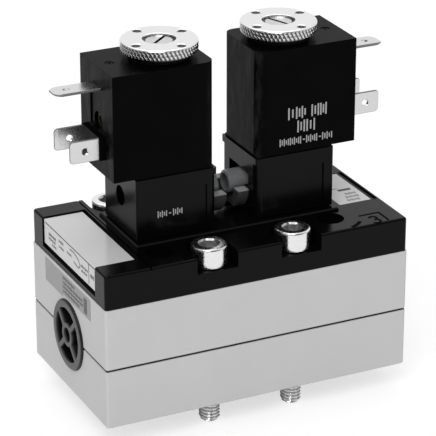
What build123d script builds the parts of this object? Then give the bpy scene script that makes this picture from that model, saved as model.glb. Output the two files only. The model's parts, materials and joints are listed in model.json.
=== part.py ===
from build123d import *
import os

# Directional control valve with two pilot solenoids, in millimetres.
# Origin at the centre of the mounting face, under the body, in the mouth of the middle port.
# +X runs along the spool, +Y to the back of the valve and +Z up to the coil nuts.

# Body, in two slabs with a gasket between them
body_length = 92.4
body_width = 52.0
lower_height = 17.0
body_gasket_thickness = 0.5
upper_height = 17.8
body_corner_radius = 0.9
slab_edge_radius = 0.5
gasket_inset = 0.4
base_seal_margin = 3.0
base_seal_thickness = 1.6

# Spool bore, along X on the seam between the slabs
sleeve_radius = 9.2
sleeve_groove_radius = 7.9
sleeve_bore_radius = 5.1
port_radius = 3.5
port_depth = 7.0
port_throat_inset = 0.2
port_groove_width = 4.0
cross_hole_radius = 1.5
ring_width = 1.8
ring_wall = 0.6
end_ring_wall = 1.2
bore_ring_radius = 6.6
spool_travel = 5.0
stop_gap = 0.3
fit_clearance = 0.08
land_radius = sleeve_bore_radius - fit_clearance
neck_radius = 3.2
centre_neck_margin = 0.25
outer_neck_margin = 0.5
spigot_radius = 2.4
spigot_length = 3.0
piston_bore_radius = 7.3
piston_thickness = 5.0
piston_nose_length = 2.0
piston_nose_radius = 5.6
piston_ring_radius = 6.2

# End plugs
plug_radius = 10.25
plug_depth = 7.0
plug_proud = 0.8
plug_rim_inner_radius = 7.9
plug_hub_radius = 3.5
plug_eye_radius = 2.15
plug_spoke_width = 1.5
plug_pocket_depth = 4.6
plug_rib_height = 0.8
plug_rib_width = 1.5
plug_rib_depth = 2.2
plug_ring_depth = 4.6
plug_ring_radius = 9.2
plug_edge = 0.5

# Mounting screws, M6 socket heads through the cover and both slabs
front_screw_spacing = 25.5
back_screw_spacing = 50.0
screw_row_inset = 6.0
screw_thread_radius = 3.0
screw_shank_relief = 0.3
screw_clearance = 0.2
screw_head_radius = 5.0
screw_head_height = 6.0
screw_socket_width = 5.0
screw_socket_depth = 3.0
screw_tip_length = 7.1
screw_tip_chamfer = 1.2
screw_head_edge = 0.5

# Cover
cover_height = 10.1
cover_inset = 0.25
cover_edge_radius = 0.7
cover_gasket_thickness = 0.4
cover_gasket_inset = 1.5
screw_floor_height = 5.4
screw_pocket_radius = 6.1
plinth_length = 62.0
plinth_width = 26.0
plinth_height = 0.9
plinth_edge = 0.4
cover_screw_x = 26.3
cover_screw_front_inset = 9.0
cover_screw_back_x = 12.0
cover_screw_back_inset = 6.5
cover_screw_recess_radius = 3.8
cover_screw_recess_depth = 5.0
cover_screw_head_radius = 3.2
cover_screw_head_height = 2.6
cover_screw_shank_radius = 1.9
cover_screw_thread_length = 8.0
cover_screw_socket_width = 2.5
cover_screw_socket_depth = 1.5
gallery_width = 2.4
gallery_depth = 2.0

# Labels
end_label_inset = 7.8
end_label_top = 11.6
end_label_side = 7.4
end_label_thickness = 0.4
end_label_well = 0.8
end_label_gap = 0.5
flat_label_inset = 7.95
flat_label_y = 0.9
flat_label_length = 21.0
flat_label_width = 10.0
flat_label_thickness = 0.2
flat_label_well = 0.3
slot_label_gap = 0.3
slot_length = 22.0
slot_width = 1.2
sticker_thickness = 0.1
sticker_drop = 0.9
side_field_width = 12.4
side_field_height = 7.0
side_field_y = 10.1
side_label_width = 19.4
side_label_height = 6.2
side_label_y = -6.1
cover_gap_inset = 13.8
cover_gap_width = 0.5
cover_gap_depth = 0.8

# Pilot housings
pilot_x = 18.0
pilot_gasket_thickness = 0.4
pilot_gasket_inset = 0.8
base_inner_x = 6.0
base_outer_x = 30.1
base_width = 22.0
base_height = 17.6
base_corner_radius = 0.6
base_inner_radius = 2.2
base_flange_height = 1.9
base_panel_depth = 0.5
base_panel_height = 12.6
base_panel_drop = 4.4
base_panel_margin = 3.0
base_side_hole_radius = 2.85
base_side_hole_drop = 8.0
base_side_hole_depth = 3.0
guard_drop = 10.1
guard_radius = 7.1
guard_inner_radius = 4.2
guard_long_side = 4.8
guard_short_side = 3.6
window_width = 12.0
window_height = 4.8
window_depth = 1.6
pilot_screw_offset_x = 8.4
pilot_screw_inset_y = 3.1
pilot_screw_head_radius = 2.4
pilot_screw_head_height = 1.8
pilot_screw_shank_radius = 1.25
pilot_screw_socket_width = 1.5
pilot_screw_socket_depth = 1.0
pilot_screw_grip = 5.0
seat_top_radius = 1.3
seat_base_radius = 2.2
seat_passage_radius = 0.5
outlet_offset = 3.2
passage_radius = 1.1

# Manual overrides
override_radius = 3.3
override_drop = 9.6
override_end_x = 1.5
override_length = 8.0
override_travel = 1.5
override_recess_radius = 2.4
override_recess_depth = 2.2
override_stem_radius = 0.7
override_stem_length = 1.9
override_edge = 0.4
override_spring_radius = 2.4
override_spring_height = 1.3
override_spring_turns = 2
spring_wire_radius = 0.25

# Core tubes and plungers
tube_radius = 4.5
tube_bore_radius = 3.9
tube_seat_depth = 8.9
tube_flange_radius = 6.0
tube_flange_height = 2.0
core_length = 11.1
stud_radius = 3.7
stud_end_drop = 0.5
stud_slot_width = 0.9
stud_slot_depth = 1.0
stud_slot_turns = {"left": 41, "right": -68}
plunger_lift = 2.0
plunger_gap = 1.2
plunger_hole_radius = 2.2
plunger_hole_depth = 12.0
plunger_spring_radius = 1.6
plunger_spring_turns = 5
seat_gap = 0.3

# Coils
coil_seal_thickness = 0.6
coil_height = 30.2
coil_inner_x = 6.4
coil_outer_x = 36.6
coil_corner_radius = 3.0
coil_bore_radius = 4.6
coil_wall = 2.5
frame_radius = 9.6
frame_wall = 0.6
frame_plate = 1.6
bobbin_wall = 0.9
bobbin_flange = 1.0
winding_radius = 8.6
coil_dimple_inset = 4.0
coil_dimple_radius = 1.3
coil_dimple_depth = 0.8
terminal_pad_proud = 2.0
terminal_pad_width = 12.6
terminal_pad_height = 6.7
terminal_band_width = 8.4
terminal_band_depth = 0.4
terminal_band_margin = 0.6

# Terminals, blade form
blade_width = 6.3
blade_thickness = 0.8
blade_root = 4.0
blade_hole_radius = 0.9
blade_hole_from_tip = 4.4
blade_tip_chamfer = 1.4
contact_drop = 21.7
contact_spacing = 11.0
contact_reach = 10.4
ground_drop = 5.9
ground_reach = 13.0
insert_drop = 15.8
insert_radius = 2.5
insert_recess = 1.2
insert_thread_radius = 1.25
insert_length = 7.0

# Coil nuts and the rings under them
nut_ring_height = 1.7
nut_ring_radius = 8.5
nut_ring_bore_radius = 4.0
nut_radius = 10.7
nut_height = 3.1
nut_edge = 0.5
nut_recess_radius = 4.2
nut_recess_depth = 0.9
nut_pit_place_radius = 9.0
nut_pit_radius = 1.0
nut_pit_depth = 0.9
nut_pit_angle = 20

# Levels and places that follow from the sizes above
seam_height = lower_height + body_gasket_thickness / 2
upper_bottom = lower_height + body_gasket_thickness
cover_bottom = upper_bottom + upper_height
cover_top = cover_bottom + cover_height
plinth_top = cover_top + plinth_height
screw_floor = cover_bottom + screw_floor_height
base_bottom = plinth_top + pilot_gasket_thickness
base_top = base_bottom + base_height
base_side_hole_height = base_top - base_side_hole_drop
guard_top = base_top - guard_drop
override_height = base_top - override_drop
tube_bottom = base_top - tube_seat_depth
plunger_bottom = tube_bottom + plunger_lift
base_length = base_outer_x - base_inner_x
base_middle_x = (base_outer_x + base_inner_x) / 2
coil_bottom = base_top + coil_seal_thickness
coil_top = coil_bottom + coil_height
core_bottom = coil_top - core_length
contact_height = coil_top - contact_drop
ground_height = coil_top - ground_drop
insert_height = coil_top - insert_drop
coil_length = coil_outer_x - coil_inner_x
coil_middle_x = (coil_outer_x + coil_inner_x) / 2
frame_bottom = coil_bottom + coil_wall
frame_top = coil_top - coil_wall
nut_bottom = coil_top + nut_ring_height
nut_top = nut_bottom + nut_height
plug_seat_x = body_length / 2 - plug_depth
pilot_outlet_x = plug_seat_x - passage_radius - stop_gap
piston_radius = piston_bore_radius - fit_clearance
spool_shift = -spool_travel / 2
piston_outer_x = plug_seat_x - stop_gap - spool_travel / 2
spool_end_x = piston_outer_x - piston_thickness
piston_bore_x = spool_end_x - spool_travel / 2 - stop_gap
outer_ring_position = piston_bore_x - end_ring_wall - ring_width / 2
port_pitch = (outer_ring_position - ring_width / 2 - ring_wall - port_groove_width / 2) / 2
centre_neck_length = port_pitch - 2 * centre_neck_margin
outer_neck_start = port_pitch * 1.5 + outer_neck_margin
outer_neck_end = outer_ring_position - ring_width / 2 - ring_wall - spool_travel / 2
base_seal_length = 4 * port_pitch + 2 * (port_radius + base_seal_margin)
base_seal_width = 2 * (port_radius + base_seal_margin)
screw_row_offset = body_width / 2 - screw_row_inset
end_label_length = body_width - 2 * end_label_inset
flat_label_x = body_length / 2 - flat_label_inset
cover_gap_x = body_length / 2 - cover_gap_inset
plunger_top = core_bottom - plunger_gap
plunger_radius = tube_bore_radius - fit_clearance
override_bore_end_x = override_end_x + override_length + override_stem_length + override_travel
cavity_height = frame_top - frame_bottom
spool_axis = Axis((0, 0, seam_height), (1, 0, 0))
spool_plane = Plane(origin=(0, 0, seam_height), x_dir=(1, 0, 0), z_dir=(0, -1, 0))
port_throat_radius = port_groove_width / 2 - port_throat_inset
port_places = [port_pitch * step for step in (-2, -1, 0, 1, 2)]
ring_offsets = (port_pitch / 2, port_pitch * 1.5, outer_ring_position)
ring_places = [sign * offset for sign in (-1, 1) for offset in ring_offsets]
mounting_screw_places = [
    (sign * spacing / 2, row)
    for spacing, row in ((front_screw_spacing, -screw_row_offset), (back_screw_spacing, screw_row_offset))
    for sign in (-1, 1)
]
cover_screw_places = [
    (sign * x, y)
    for x, y in (
        (cover_screw_x, cover_screw_front_inset - body_width / 2),
        (cover_screw_back_x, body_width / 2 - cover_screw_back_inset),
    )
    for sign in (-1, 1)
]
pilot_screw_places = [
    (side * (pilot_x + sign * pilot_screw_offset_x), sign * (base_width / 2 - pilot_screw_inset_y))
    for side in (-1, 1)
    for sign in (-1, 1)
]
up = (Align.CENTER, Align.CENTER, Align.MIN)
down = (Align.CENTER, Align.CENTER, Align.MAX)

os.makedirs("parts", exist_ok=True)


def save(piece, name):
    piece.part.label = name
    export_step(piece.part, f"parts/{name}.step")


def body_slab(bottom, height):
    """One slab of the body: its outline, the half bore, the plug seats and the screw holes."""
    with BuildPart() as slab:
        with BuildSketch(Plane.XY.offset(bottom)):
            RectangleRounded(body_length, body_width, body_corner_radius)
        extrude(amount=height)
        fillet(slab.faces().sort_by(Axis.Z)[0].edges(), slab_edge_radius)
        with BuildSketch(spool_plane):
            with BuildLine():
                half = body_length / 2
                rib_inner_x = half - plug_rib_depth - plug_rib_width
                rib_outer_x = half - plug_rib_depth
                rib_radius = plug_radius + plug_rib_height
                Polyline(
                    (0, 0), (0, sleeve_radius), (plug_seat_x, sleeve_radius), (plug_seat_x, plug_radius),
                    (rib_inner_x, plug_radius), (rib_inner_x, rib_radius), (rib_outer_x, rib_radius),
                    (rib_outer_x, plug_radius), (half, plug_radius), (half, 0), close=True,
                )
            make_face()
            mirror(about=Plane.YZ)
        revolve(axis=spool_axis, mode=Mode.SUBTRACT)
        with Locations([(x, y, bottom) for x, y in mounting_screw_places]):
            Cylinder(screw_thread_radius + screw_clearance, height, align=up, mode=Mode.SUBTRACT)
    return slab


# Lower slab, with the five ports and the seat of the moulded seal in its underside
lower_slab = body_slab(0, lower_height)
with BuildPart() as lower_body:
    add(lower_slab.part)
    with Locations([(x, 0, 0) for x in port_places]):
        Cylinder(port_radius, port_depth, align=up, mode=Mode.SUBTRACT)
        Cylinder(port_throat_radius, seam_height, align=up, mode=Mode.SUBTRACT)
    with BuildSketch(Plane.XY):
        SlotOverall(base_seal_length, base_seal_width)
    extrude(amount=base_seal_thickness, mode=Mode.SUBTRACT)
save(lower_body, "lower_body")

with BuildPart() as base_seal:
    with BuildSketch(Plane.XY):
        SlotOverall(base_seal_length, base_seal_width)
        with Locations([(x, 0) for x in port_places]):
            Circle(port_radius, mode=Mode.SUBTRACT)
    extrude(amount=base_seal_thickness)
save(base_seal, "base_seal")

# Upper slab, with the air passages up to the cover and the tapped holes of the cover screws
upper_slab = body_slab(upper_bottom, upper_height)
passage_places = [(-pilot_outlet_x, 0), (0, 0), (pilot_outlet_x, 0)]
with BuildPart() as upper_body:
    add(upper_slab.part)
    with Locations([(x, y, cover_bottom) for x, y in passage_places]):
        Cylinder(passage_radius, cover_bottom - seam_height, align=down, mode=Mode.SUBTRACT)
    with Locations([(x, y, cover_bottom) for x, y in cover_screw_places]):
        Cylinder(cover_screw_shank_radius, cover_screw_thread_length, align=down, mode=Mode.SUBTRACT)
save(upper_body, "upper_body")

# Gasket in the seam, one strip on each side of the bore
strip_inner_y = plug_radius + plug_rib_height + gasket_inset
strip_outer_y = body_width / 2 - gasket_inset
with BuildPart() as body_gasket:
    with BuildSketch(Plane.XY.offset(lower_height)):
        with Locations((0, (strip_inner_y + strip_outer_y) / 2), (0, -(strip_inner_y + strip_outer_y) / 2)):
            Rectangle(body_length - 2 * gasket_inset, strip_outer_y - strip_inner_y)
        with Locations(mounting_screw_places):
            Circle(screw_thread_radius + screw_clearance, mode=Mode.SUBTRACT)
    extrude(amount=body_gasket_thickness)
save(body_gasket, "body_gasket")

# Sleeve, turned, with a ring groove beside each port groove and a piston bore at each end
with BuildPart() as spool_sleeve:
    with BuildSketch(spool_plane):
        with Locations((0, (sleeve_radius + sleeve_bore_radius) / 2)):
            Rectangle(2 * plug_seat_x, sleeve_radius - sleeve_bore_radius)
        with Locations([(x, sleeve_radius) for x in port_places]):
            Rectangle(
                port_groove_width, sleeve_radius - sleeve_groove_radius,
                align=(Align.CENTER, Align.MAX), mode=Mode.SUBTRACT,
            )
        with Locations([(x, sleeve_radius) for x in ring_places]):
            Rectangle(
                ring_width, sleeve_radius - sleeve_groove_radius,
                align=(Align.CENTER, Align.MAX), mode=Mode.SUBTRACT,
            )
        with Locations([(x, sleeve_bore_radius) for x in ring_places]):
            Rectangle(
                ring_width, bore_ring_radius - sleeve_bore_radius,
                align=(Align.CENTER, Align.MIN), mode=Mode.SUBTRACT,
            )
        with Locations((piston_bore_x, sleeve_bore_radius)):
            Rectangle(
                plug_seat_x - piston_bore_x, piston_bore_radius - sleeve_bore_radius,
                align=(Align.MIN, Align.MIN), mode=Mode.SUBTRACT,
            )
        with Locations((-piston_bore_x, sleeve_bore_radius)):
            Rectangle(
                plug_seat_x - piston_bore_x, piston_bore_radius - sleeve_bore_radius,
                align=(Align.MAX, Align.MIN), mode=Mode.SUBTRACT,
            )
    revolve(axis=spool_axis)
    with Locations([(x, 0, seam_height) for x in port_places]):
        Cylinder(cross_hole_radius, 2 * sleeve_radius, mode=Mode.SUBTRACT)
    with Locations([(x, 0, seam_height) for x in (-pilot_outlet_x, pilot_outlet_x)]):
        Cylinder(passage_radius, sleeve_radius, align=up, mode=Mode.SUBTRACT)
save(spool_sleeve, "spool_sleeve")


def ring_set(places, inner_radius, outer_radius, width):
    """Square-section rings about the spool axis, one at each place along X."""
    with BuildPart() as rings:
        with BuildSketch(spool_plane):
            with Locations([(x, (inner_radius + outer_radius) / 2) for x in places]):
                Rectangle(width, outer_radius - inner_radius)
        revolve(axis=spool_axis)
    return rings


save(ring_set(ring_places, sleeve_groove_radius, sleeve_radius, ring_width), "sleeve_seals")
save(ring_set(ring_places, sleeve_bore_radius, bore_ring_radius, ring_width), "bore_seals")

# Spool, turned. The lands close the rings and the necks open them: with the spool at its
# left stop, air passes at the rings where a neck lies.
with BuildPart() as spool:
    with BuildSketch(spool_plane):
        with Locations((spool_shift, land_radius / 2)):
            Rectangle(2 * spool_end_x, land_radius)
        with Locations((spool_shift, land_radius)):
            Rectangle(
                centre_neck_length, land_radius - neck_radius,
                align=(Align.CENTER, Align.MAX), mode=Mode.SUBTRACT,
            )
        for sign in (-1, 1):
            with Locations((spool_shift + sign * (outer_neck_start + outer_neck_end) / 2, land_radius)):
                Rectangle(
                    outer_neck_end - outer_neck_start, land_radius - neck_radius,
                    align=(Align.CENTER, Align.MAX), mode=Mode.SUBTRACT,
                )
            with Locations((spool_shift + sign * (spool_end_x + spigot_length / 2), spigot_radius / 2)):
                Rectangle(spigot_length, spigot_radius)
    revolve(axis=spool_axis)
save(spool, "spool")

# Pistons, pressed on the spool's spigots, each with a nose that keeps the air passage clear
piston_skirt = piston_thickness - piston_nose_length
piston_ring_places = [spool_shift + side * (spool_end_x + piston_skirt / 2) for side in (-1, 1)]
for side, hand, ring_x in ((-1, "left", piston_ring_places[0]), (1, "right", piston_ring_places[1])):
    piston_middle_x = spool_shift + side * (spool_end_x + piston_thickness / 2)
    with BuildPart() as piston:
        with BuildSketch(spool_plane):
            with Locations((ring_x, piston_radius / 2)):
                Rectangle(piston_skirt, piston_radius)
            with Locations((piston_middle_x, piston_nose_radius / 2)):
                Rectangle(piston_thickness, piston_nose_radius)
            with Locations((ring_x, piston_radius)):
                Rectangle(
                    ring_width, piston_radius - piston_ring_radius,
                    align=(Align.CENTER, Align.MAX), mode=Mode.SUBTRACT,
                )
            with Locations((spool_shift + side * (spool_end_x + spigot_length / 2), spigot_radius / 2)):
                Rectangle(spigot_length, spigot_radius, mode=Mode.SUBTRACT)
        revolve(axis=spool_axis)
    save(piston, f"{hand}_piston")
save(ring_set(piston_ring_places, piston_ring_radius, piston_radius, ring_width), "piston_seals")

# End plugs: a moulded cup with four openings between the spokes of its face
for side, hand in ((-1, "left"), (1, "right")):
    face_x = side * (body_length / 2 + plug_proud)
    plug_face = Plane(origin=(face_x, 0, seam_height), x_dir=(0, 1, 0), z_dir=(side, 0, 0))
    with BuildPart() as plug:
        with BuildSketch(plug_face):
            Circle(plug_radius)
        extrude(amount=-(plug_depth + plug_proud))
        chamfer(plug.faces().sort_by(Axis.X)[0 if side < 0 else -1].edges(), plug_edge)
        with BuildSketch(plug_face.offset(-plug_proud - plug_rib_depth)):
            Circle(plug_radius + plug_rib_height)
            Circle(plug_radius - plug_edge, mode=Mode.SUBTRACT)
        extrude(amount=-plug_rib_width)
        with BuildSketch(plug_face.offset(-plug_proud - plug_ring_depth)):
            Circle(plug_radius)
            Circle(plug_ring_radius, mode=Mode.SUBTRACT)
        extrude(amount=-ring_width, mode=Mode.SUBTRACT)
        with BuildSketch(plug_face):
            Circle(plug_rim_inner_radius)
            Circle(plug_hub_radius, mode=Mode.SUBTRACT)
            for angle in (45, -45):
                Rectangle(2 * plug_radius, plug_spoke_width, rotation=angle, mode=Mode.SUBTRACT)
            Circle(plug_eye_radius)
        extrude(amount=-plug_pocket_depth, mode=Mode.SUBTRACT)
    save(plug, f"{hand}_end_plug")

plug_ring_places = [side * (body_length / 2 - plug_ring_depth - ring_width / 2) for side in (-1, 1)]
save(ring_set(plug_ring_places, plug_ring_radius, plug_radius, ring_width), "plug_seals")

# Mounting screws, all four in one group. The thread has its size where it stands out below
# the body, and the shank above it is a little thinner.
with BuildPart() as mounting_screws:
    with Locations([(x, y, screw_floor) for x, y in mounting_screw_places]):
        Cylinder(screw_head_radius, screw_head_height, align=up)
        Cylinder(screw_thread_radius - screw_shank_relief, screw_floor, align=down)
    with Locations(mounting_screw_places):
        Cylinder(screw_thread_radius, screw_tip_length, align=down)
    chamfer(mounting_screws.faces().group_by(Axis.Z)[0].edges(), screw_tip_chamfer)
    chamfer(mounting_screws.faces().group_by(Axis.Z)[-1].edges(), screw_head_edge)
    with BuildSketch(Plane.XY.offset(screw_floor + screw_head_height)):
        with Locations(mounting_screw_places):
            RegularPolygon(screw_socket_width / 2, 6, major_radius=False)
    extrude(amount=-screw_socket_depth, mode=Mode.SUBTRACT)
save(mounting_screws, "mounting_screws")

# Cover gasket, let into the underside of the cover
with BuildPart() as cover_gasket:
    with BuildSketch(Plane.XY.offset(cover_bottom)):
        Rectangle(body_length - 2 * cover_gasket_inset, body_width - 2 * cover_gasket_inset)
        with Locations(mounting_screw_places):
            Circle(screw_thread_radius + screw_clearance, mode=Mode.SUBTRACT)
        with Locations(cover_screw_places):
            Circle(cover_screw_shank_radius + screw_clearance, mode=Mode.SUBTRACT)
        with Locations(passage_places):
            Circle(passage_radius, mode=Mode.SUBTRACT)
    extrude(amount=cover_gasket_thickness)
save(cover_gasket, "cover_gasket")


# Cover: one black moulding with the plinth, the screw pockets, the label wells and the air galleries
front_pocket_places = [(x, y) for x, y in mounting_screw_places if y < 0]
back_pocket_places = [(x, y) for x, y in mounting_screw_places if y > 0]
cover_left_x = cover_inset - body_length / 2
gasket_top = cover_bottom + cover_gasket_thickness
gallery_top = gasket_top + gallery_depth
outlet_x = pilot_x + outlet_offset
with BuildPart() as cover:
    with BuildSketch(Plane.XY.offset(cover_bottom)):
        RectangleRounded(
            body_length - 2 * cover_inset, body_width - 2 * cover_inset, body_corner_radius,
        )
    extrude(amount=cover_height)
    fillet(cover.faces().sort_by(Axis.Z)[-1].edges(), cover_edge_radius)
    with BuildSketch(Plane.XY.offset(cover_top)):
        Rectangle(plinth_length, plinth_width)
    extrude(amount=plinth_height)
    chamfer(cover.faces().sort_by(Axis.Z)[-1].edges(), plinth_edge)
    # Screw pockets, each a round seat that runs out through the nearer long side
    with BuildSketch(Plane.XY.offset(screw_floor)):
        with Locations(mounting_screw_places):
            Circle(screw_pocket_radius)
        with Locations(front_pocket_places):
            Rectangle(2 * screw_pocket_radius, body_width / 2, align=(Align.CENTER, Align.MAX))
        with Locations(back_pocket_places):
            Rectangle(2 * screw_pocket_radius, body_width / 2, align=(Align.CENTER, Align.MIN))
    extrude(amount=cover_height, mode=Mode.SUBTRACT)
    with Locations([(x, y, cover_bottom) for x, y in mounting_screw_places]):
        Cylinder(screw_thread_radius + screw_clearance, cover_height, align=up, mode=Mode.SUBTRACT)
    # Recesses of the cover's own screws
    with Locations([(x, y, cover_top - cover_screw_recess_depth) for x, y in cover_screw_places]):
        Cylinder(cover_screw_recess_radius, cover_height, align=up, mode=Mode.SUBTRACT)
    with Locations([(x, y, cover_bottom) for x, y in cover_screw_places]):
        Cylinder(cover_screw_shank_radius + screw_clearance, cover_height, align=up, mode=Mode.SUBTRACT)
    # Well of the bent label, over the left edge
    with BuildSketch(Plane.XZ):
        with Locations((cover_left_x, cover_top)):
            Rectangle(
                end_label_well + end_label_top + end_label_gap, end_label_well,
                align=(Align.MIN, Align.MAX),
            )
            Rectangle(
                end_label_well, end_label_well + end_label_side + end_label_gap,
                align=(Align.MIN, Align.MAX),
            )
    extrude(amount=end_label_length / 2 + end_label_gap, both=True, mode=Mode.SUBTRACT)
    # Gap across the cover between the label's block and the rest
    with BuildSketch(Plane.XY.offset(cover_top)):
        with Locations((-cover_gap_x, 0)):
            Rectangle(cover_gap_width, body_width)
    extrude(amount=-cover_gap_depth, mode=Mode.SUBTRACT)
    # Well of the flat label and the slot beside it, on the right
    with BuildSketch(Plane.XY.offset(cover_top)):
        with Locations((flat_label_x, flat_label_y)):
            Rectangle(flat_label_width + slot_label_gap, flat_label_length + slot_label_gap)
    extrude(amount=-flat_label_well, mode=Mode.SUBTRACT)
    with BuildSketch(Plane.XY.offset(cover_top)):
        with Locations((flat_label_x + flat_label_width / 2 + slot_width, flat_label_y)):
            Rectangle(slot_width, slot_length)
    extrude(amount=-end_label_well, mode=Mode.SUBTRACT)
    # Seat of the cover gasket and the galleries over it
    with BuildSketch(Plane.XY.offset(cover_bottom)):
        Rectangle(body_length - 2 * cover_gasket_inset, body_width - 2 * cover_gasket_inset)
    extrude(amount=cover_gasket_thickness, mode=Mode.SUBTRACT)
    with BuildSketch(Plane.XY.offset(gasket_top)):
        SlotOverall(2 * pilot_x + gallery_width, gallery_width)
        for side in (-1, 1):
            with Locations((side * (outlet_x + pilot_outlet_x) / 2, 0)):
                SlotOverall(pilot_outlet_x - outlet_x + gallery_width, gallery_width)
    extrude(amount=gallery_depth, mode=Mode.SUBTRACT)
    with Locations([(side * x, 0, gallery_top) for side in (-1, 1) for x in (pilot_x, outlet_x)]):
        Cylinder(seat_passage_radius, cover_height, align=up, mode=Mode.SUBTRACT)
    # Tapped holes of the pilot screws
    with Locations([(x, y, plinth_top) for x, y in pilot_screw_places]):
        Cylinder(pilot_screw_shank_radius, pilot_screw_grip, align=down, mode=Mode.SUBTRACT)
save(cover, "cover")

cover_screw_floor = cover_top - cover_screw_recess_depth
cover_screw_length = cover_screw_floor - cover_bottom + cover_screw_thread_length
with BuildPart() as cover_screws:
    with Locations([(x, y, cover_screw_floor) for x, y in cover_screw_places]):
        Cylinder(cover_screw_head_radius, cover_screw_head_height, align=up)
        Cylinder(cover_screw_shank_radius, cover_screw_length, align=down)
    with BuildSketch(Plane.XY.offset(cover_screw_floor + cover_screw_head_height)):
        with Locations(cover_screw_places):
            RegularPolygon(cover_screw_socket_width / 2, 6, major_radius=False)
    extrude(amount=-cover_screw_socket_depth, mode=Mode.SUBTRACT)
save(cover_screws, "cover_screws")

# Labels
label_left_x = cover_left_x + end_label_well - end_label_thickness
label_top = cover_top - end_label_well + end_label_thickness
with BuildPart() as left_label:
    with BuildSketch(Plane.XZ) as left_label_section:
        with Locations((label_left_x, label_top)):
            Rectangle(end_label_top, end_label_thickness, align=(Align.MIN, Align.MAX))
            Rectangle(end_label_thickness, end_label_side, align=(Align.MIN, Align.MAX))
        corner = left_label_section.vertices().sort_by(Axis.X)[:2].sort_by(Axis.Z)[-1]
        fillet(corner, end_label_thickness)
    extrude(amount=end_label_length / 2, both=True)
save(left_label, "left_label")

with BuildPart() as right_label:
    with BuildSketch(Plane.XY.offset(cover_top - flat_label_well)):
        with Locations((flat_label_x, flat_label_y)):
            Rectangle(flat_label_width, flat_label_length)
    extrude(amount=flat_label_thickness)
save(right_label, "right_label")

for name, y, width, height in (
    ("side_field", side_field_y, side_field_width, side_field_height),
    ("side_label", side_label_y, side_label_width, side_label_height),
):
    sticker_height = cover_bottom - sticker_drop - height / 2
    sticker_plane = Plane(origin=(-body_length / 2, y, sticker_height), x_dir=(0, -1, 0), z_dir=(-1, 0, 0))
    with BuildPart() as sticker:
        with BuildSketch(sticker_plane):
            Rectangle(width, height)
        extrude(amount=sticker_thickness)
    save(sticker, name)

# The pilot screws, under the coils
with BuildPart() as pilot_screws:
    with Locations([(x, y, base_top) for x, y in pilot_screw_places]):
        Cylinder(pilot_screw_head_radius, pilot_screw_head_height, align=down)
        Cylinder(
            pilot_screw_shank_radius, base_top - plinth_top + pilot_screw_grip, align=down,
        )
    with BuildSketch(Plane.XY.offset(base_top)):
        with Locations(pilot_screw_places):
            RegularPolygon(pilot_screw_socket_width / 2, 6, major_radius=False)
    extrude(amount=-pilot_screw_socket_depth, mode=Mode.SUBTRACT)
save(pilot_screws, "pilot_screws")


def make_spring(radius, wire_radius, pitch, height, start, direction):
    """A round-wire coil spring whose axis runs from start along direction."""
    with BuildPart() as spring:
        with BuildLine() as path:
            Helix(pitch, height, radius, center=start, direction=direction)
        with BuildSketch(Plane(origin=path.line @ 0, z_dir=path.line % 0)):
            Circle(wire_radius)
        sweep(is_frenet=True)
    return spring


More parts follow.
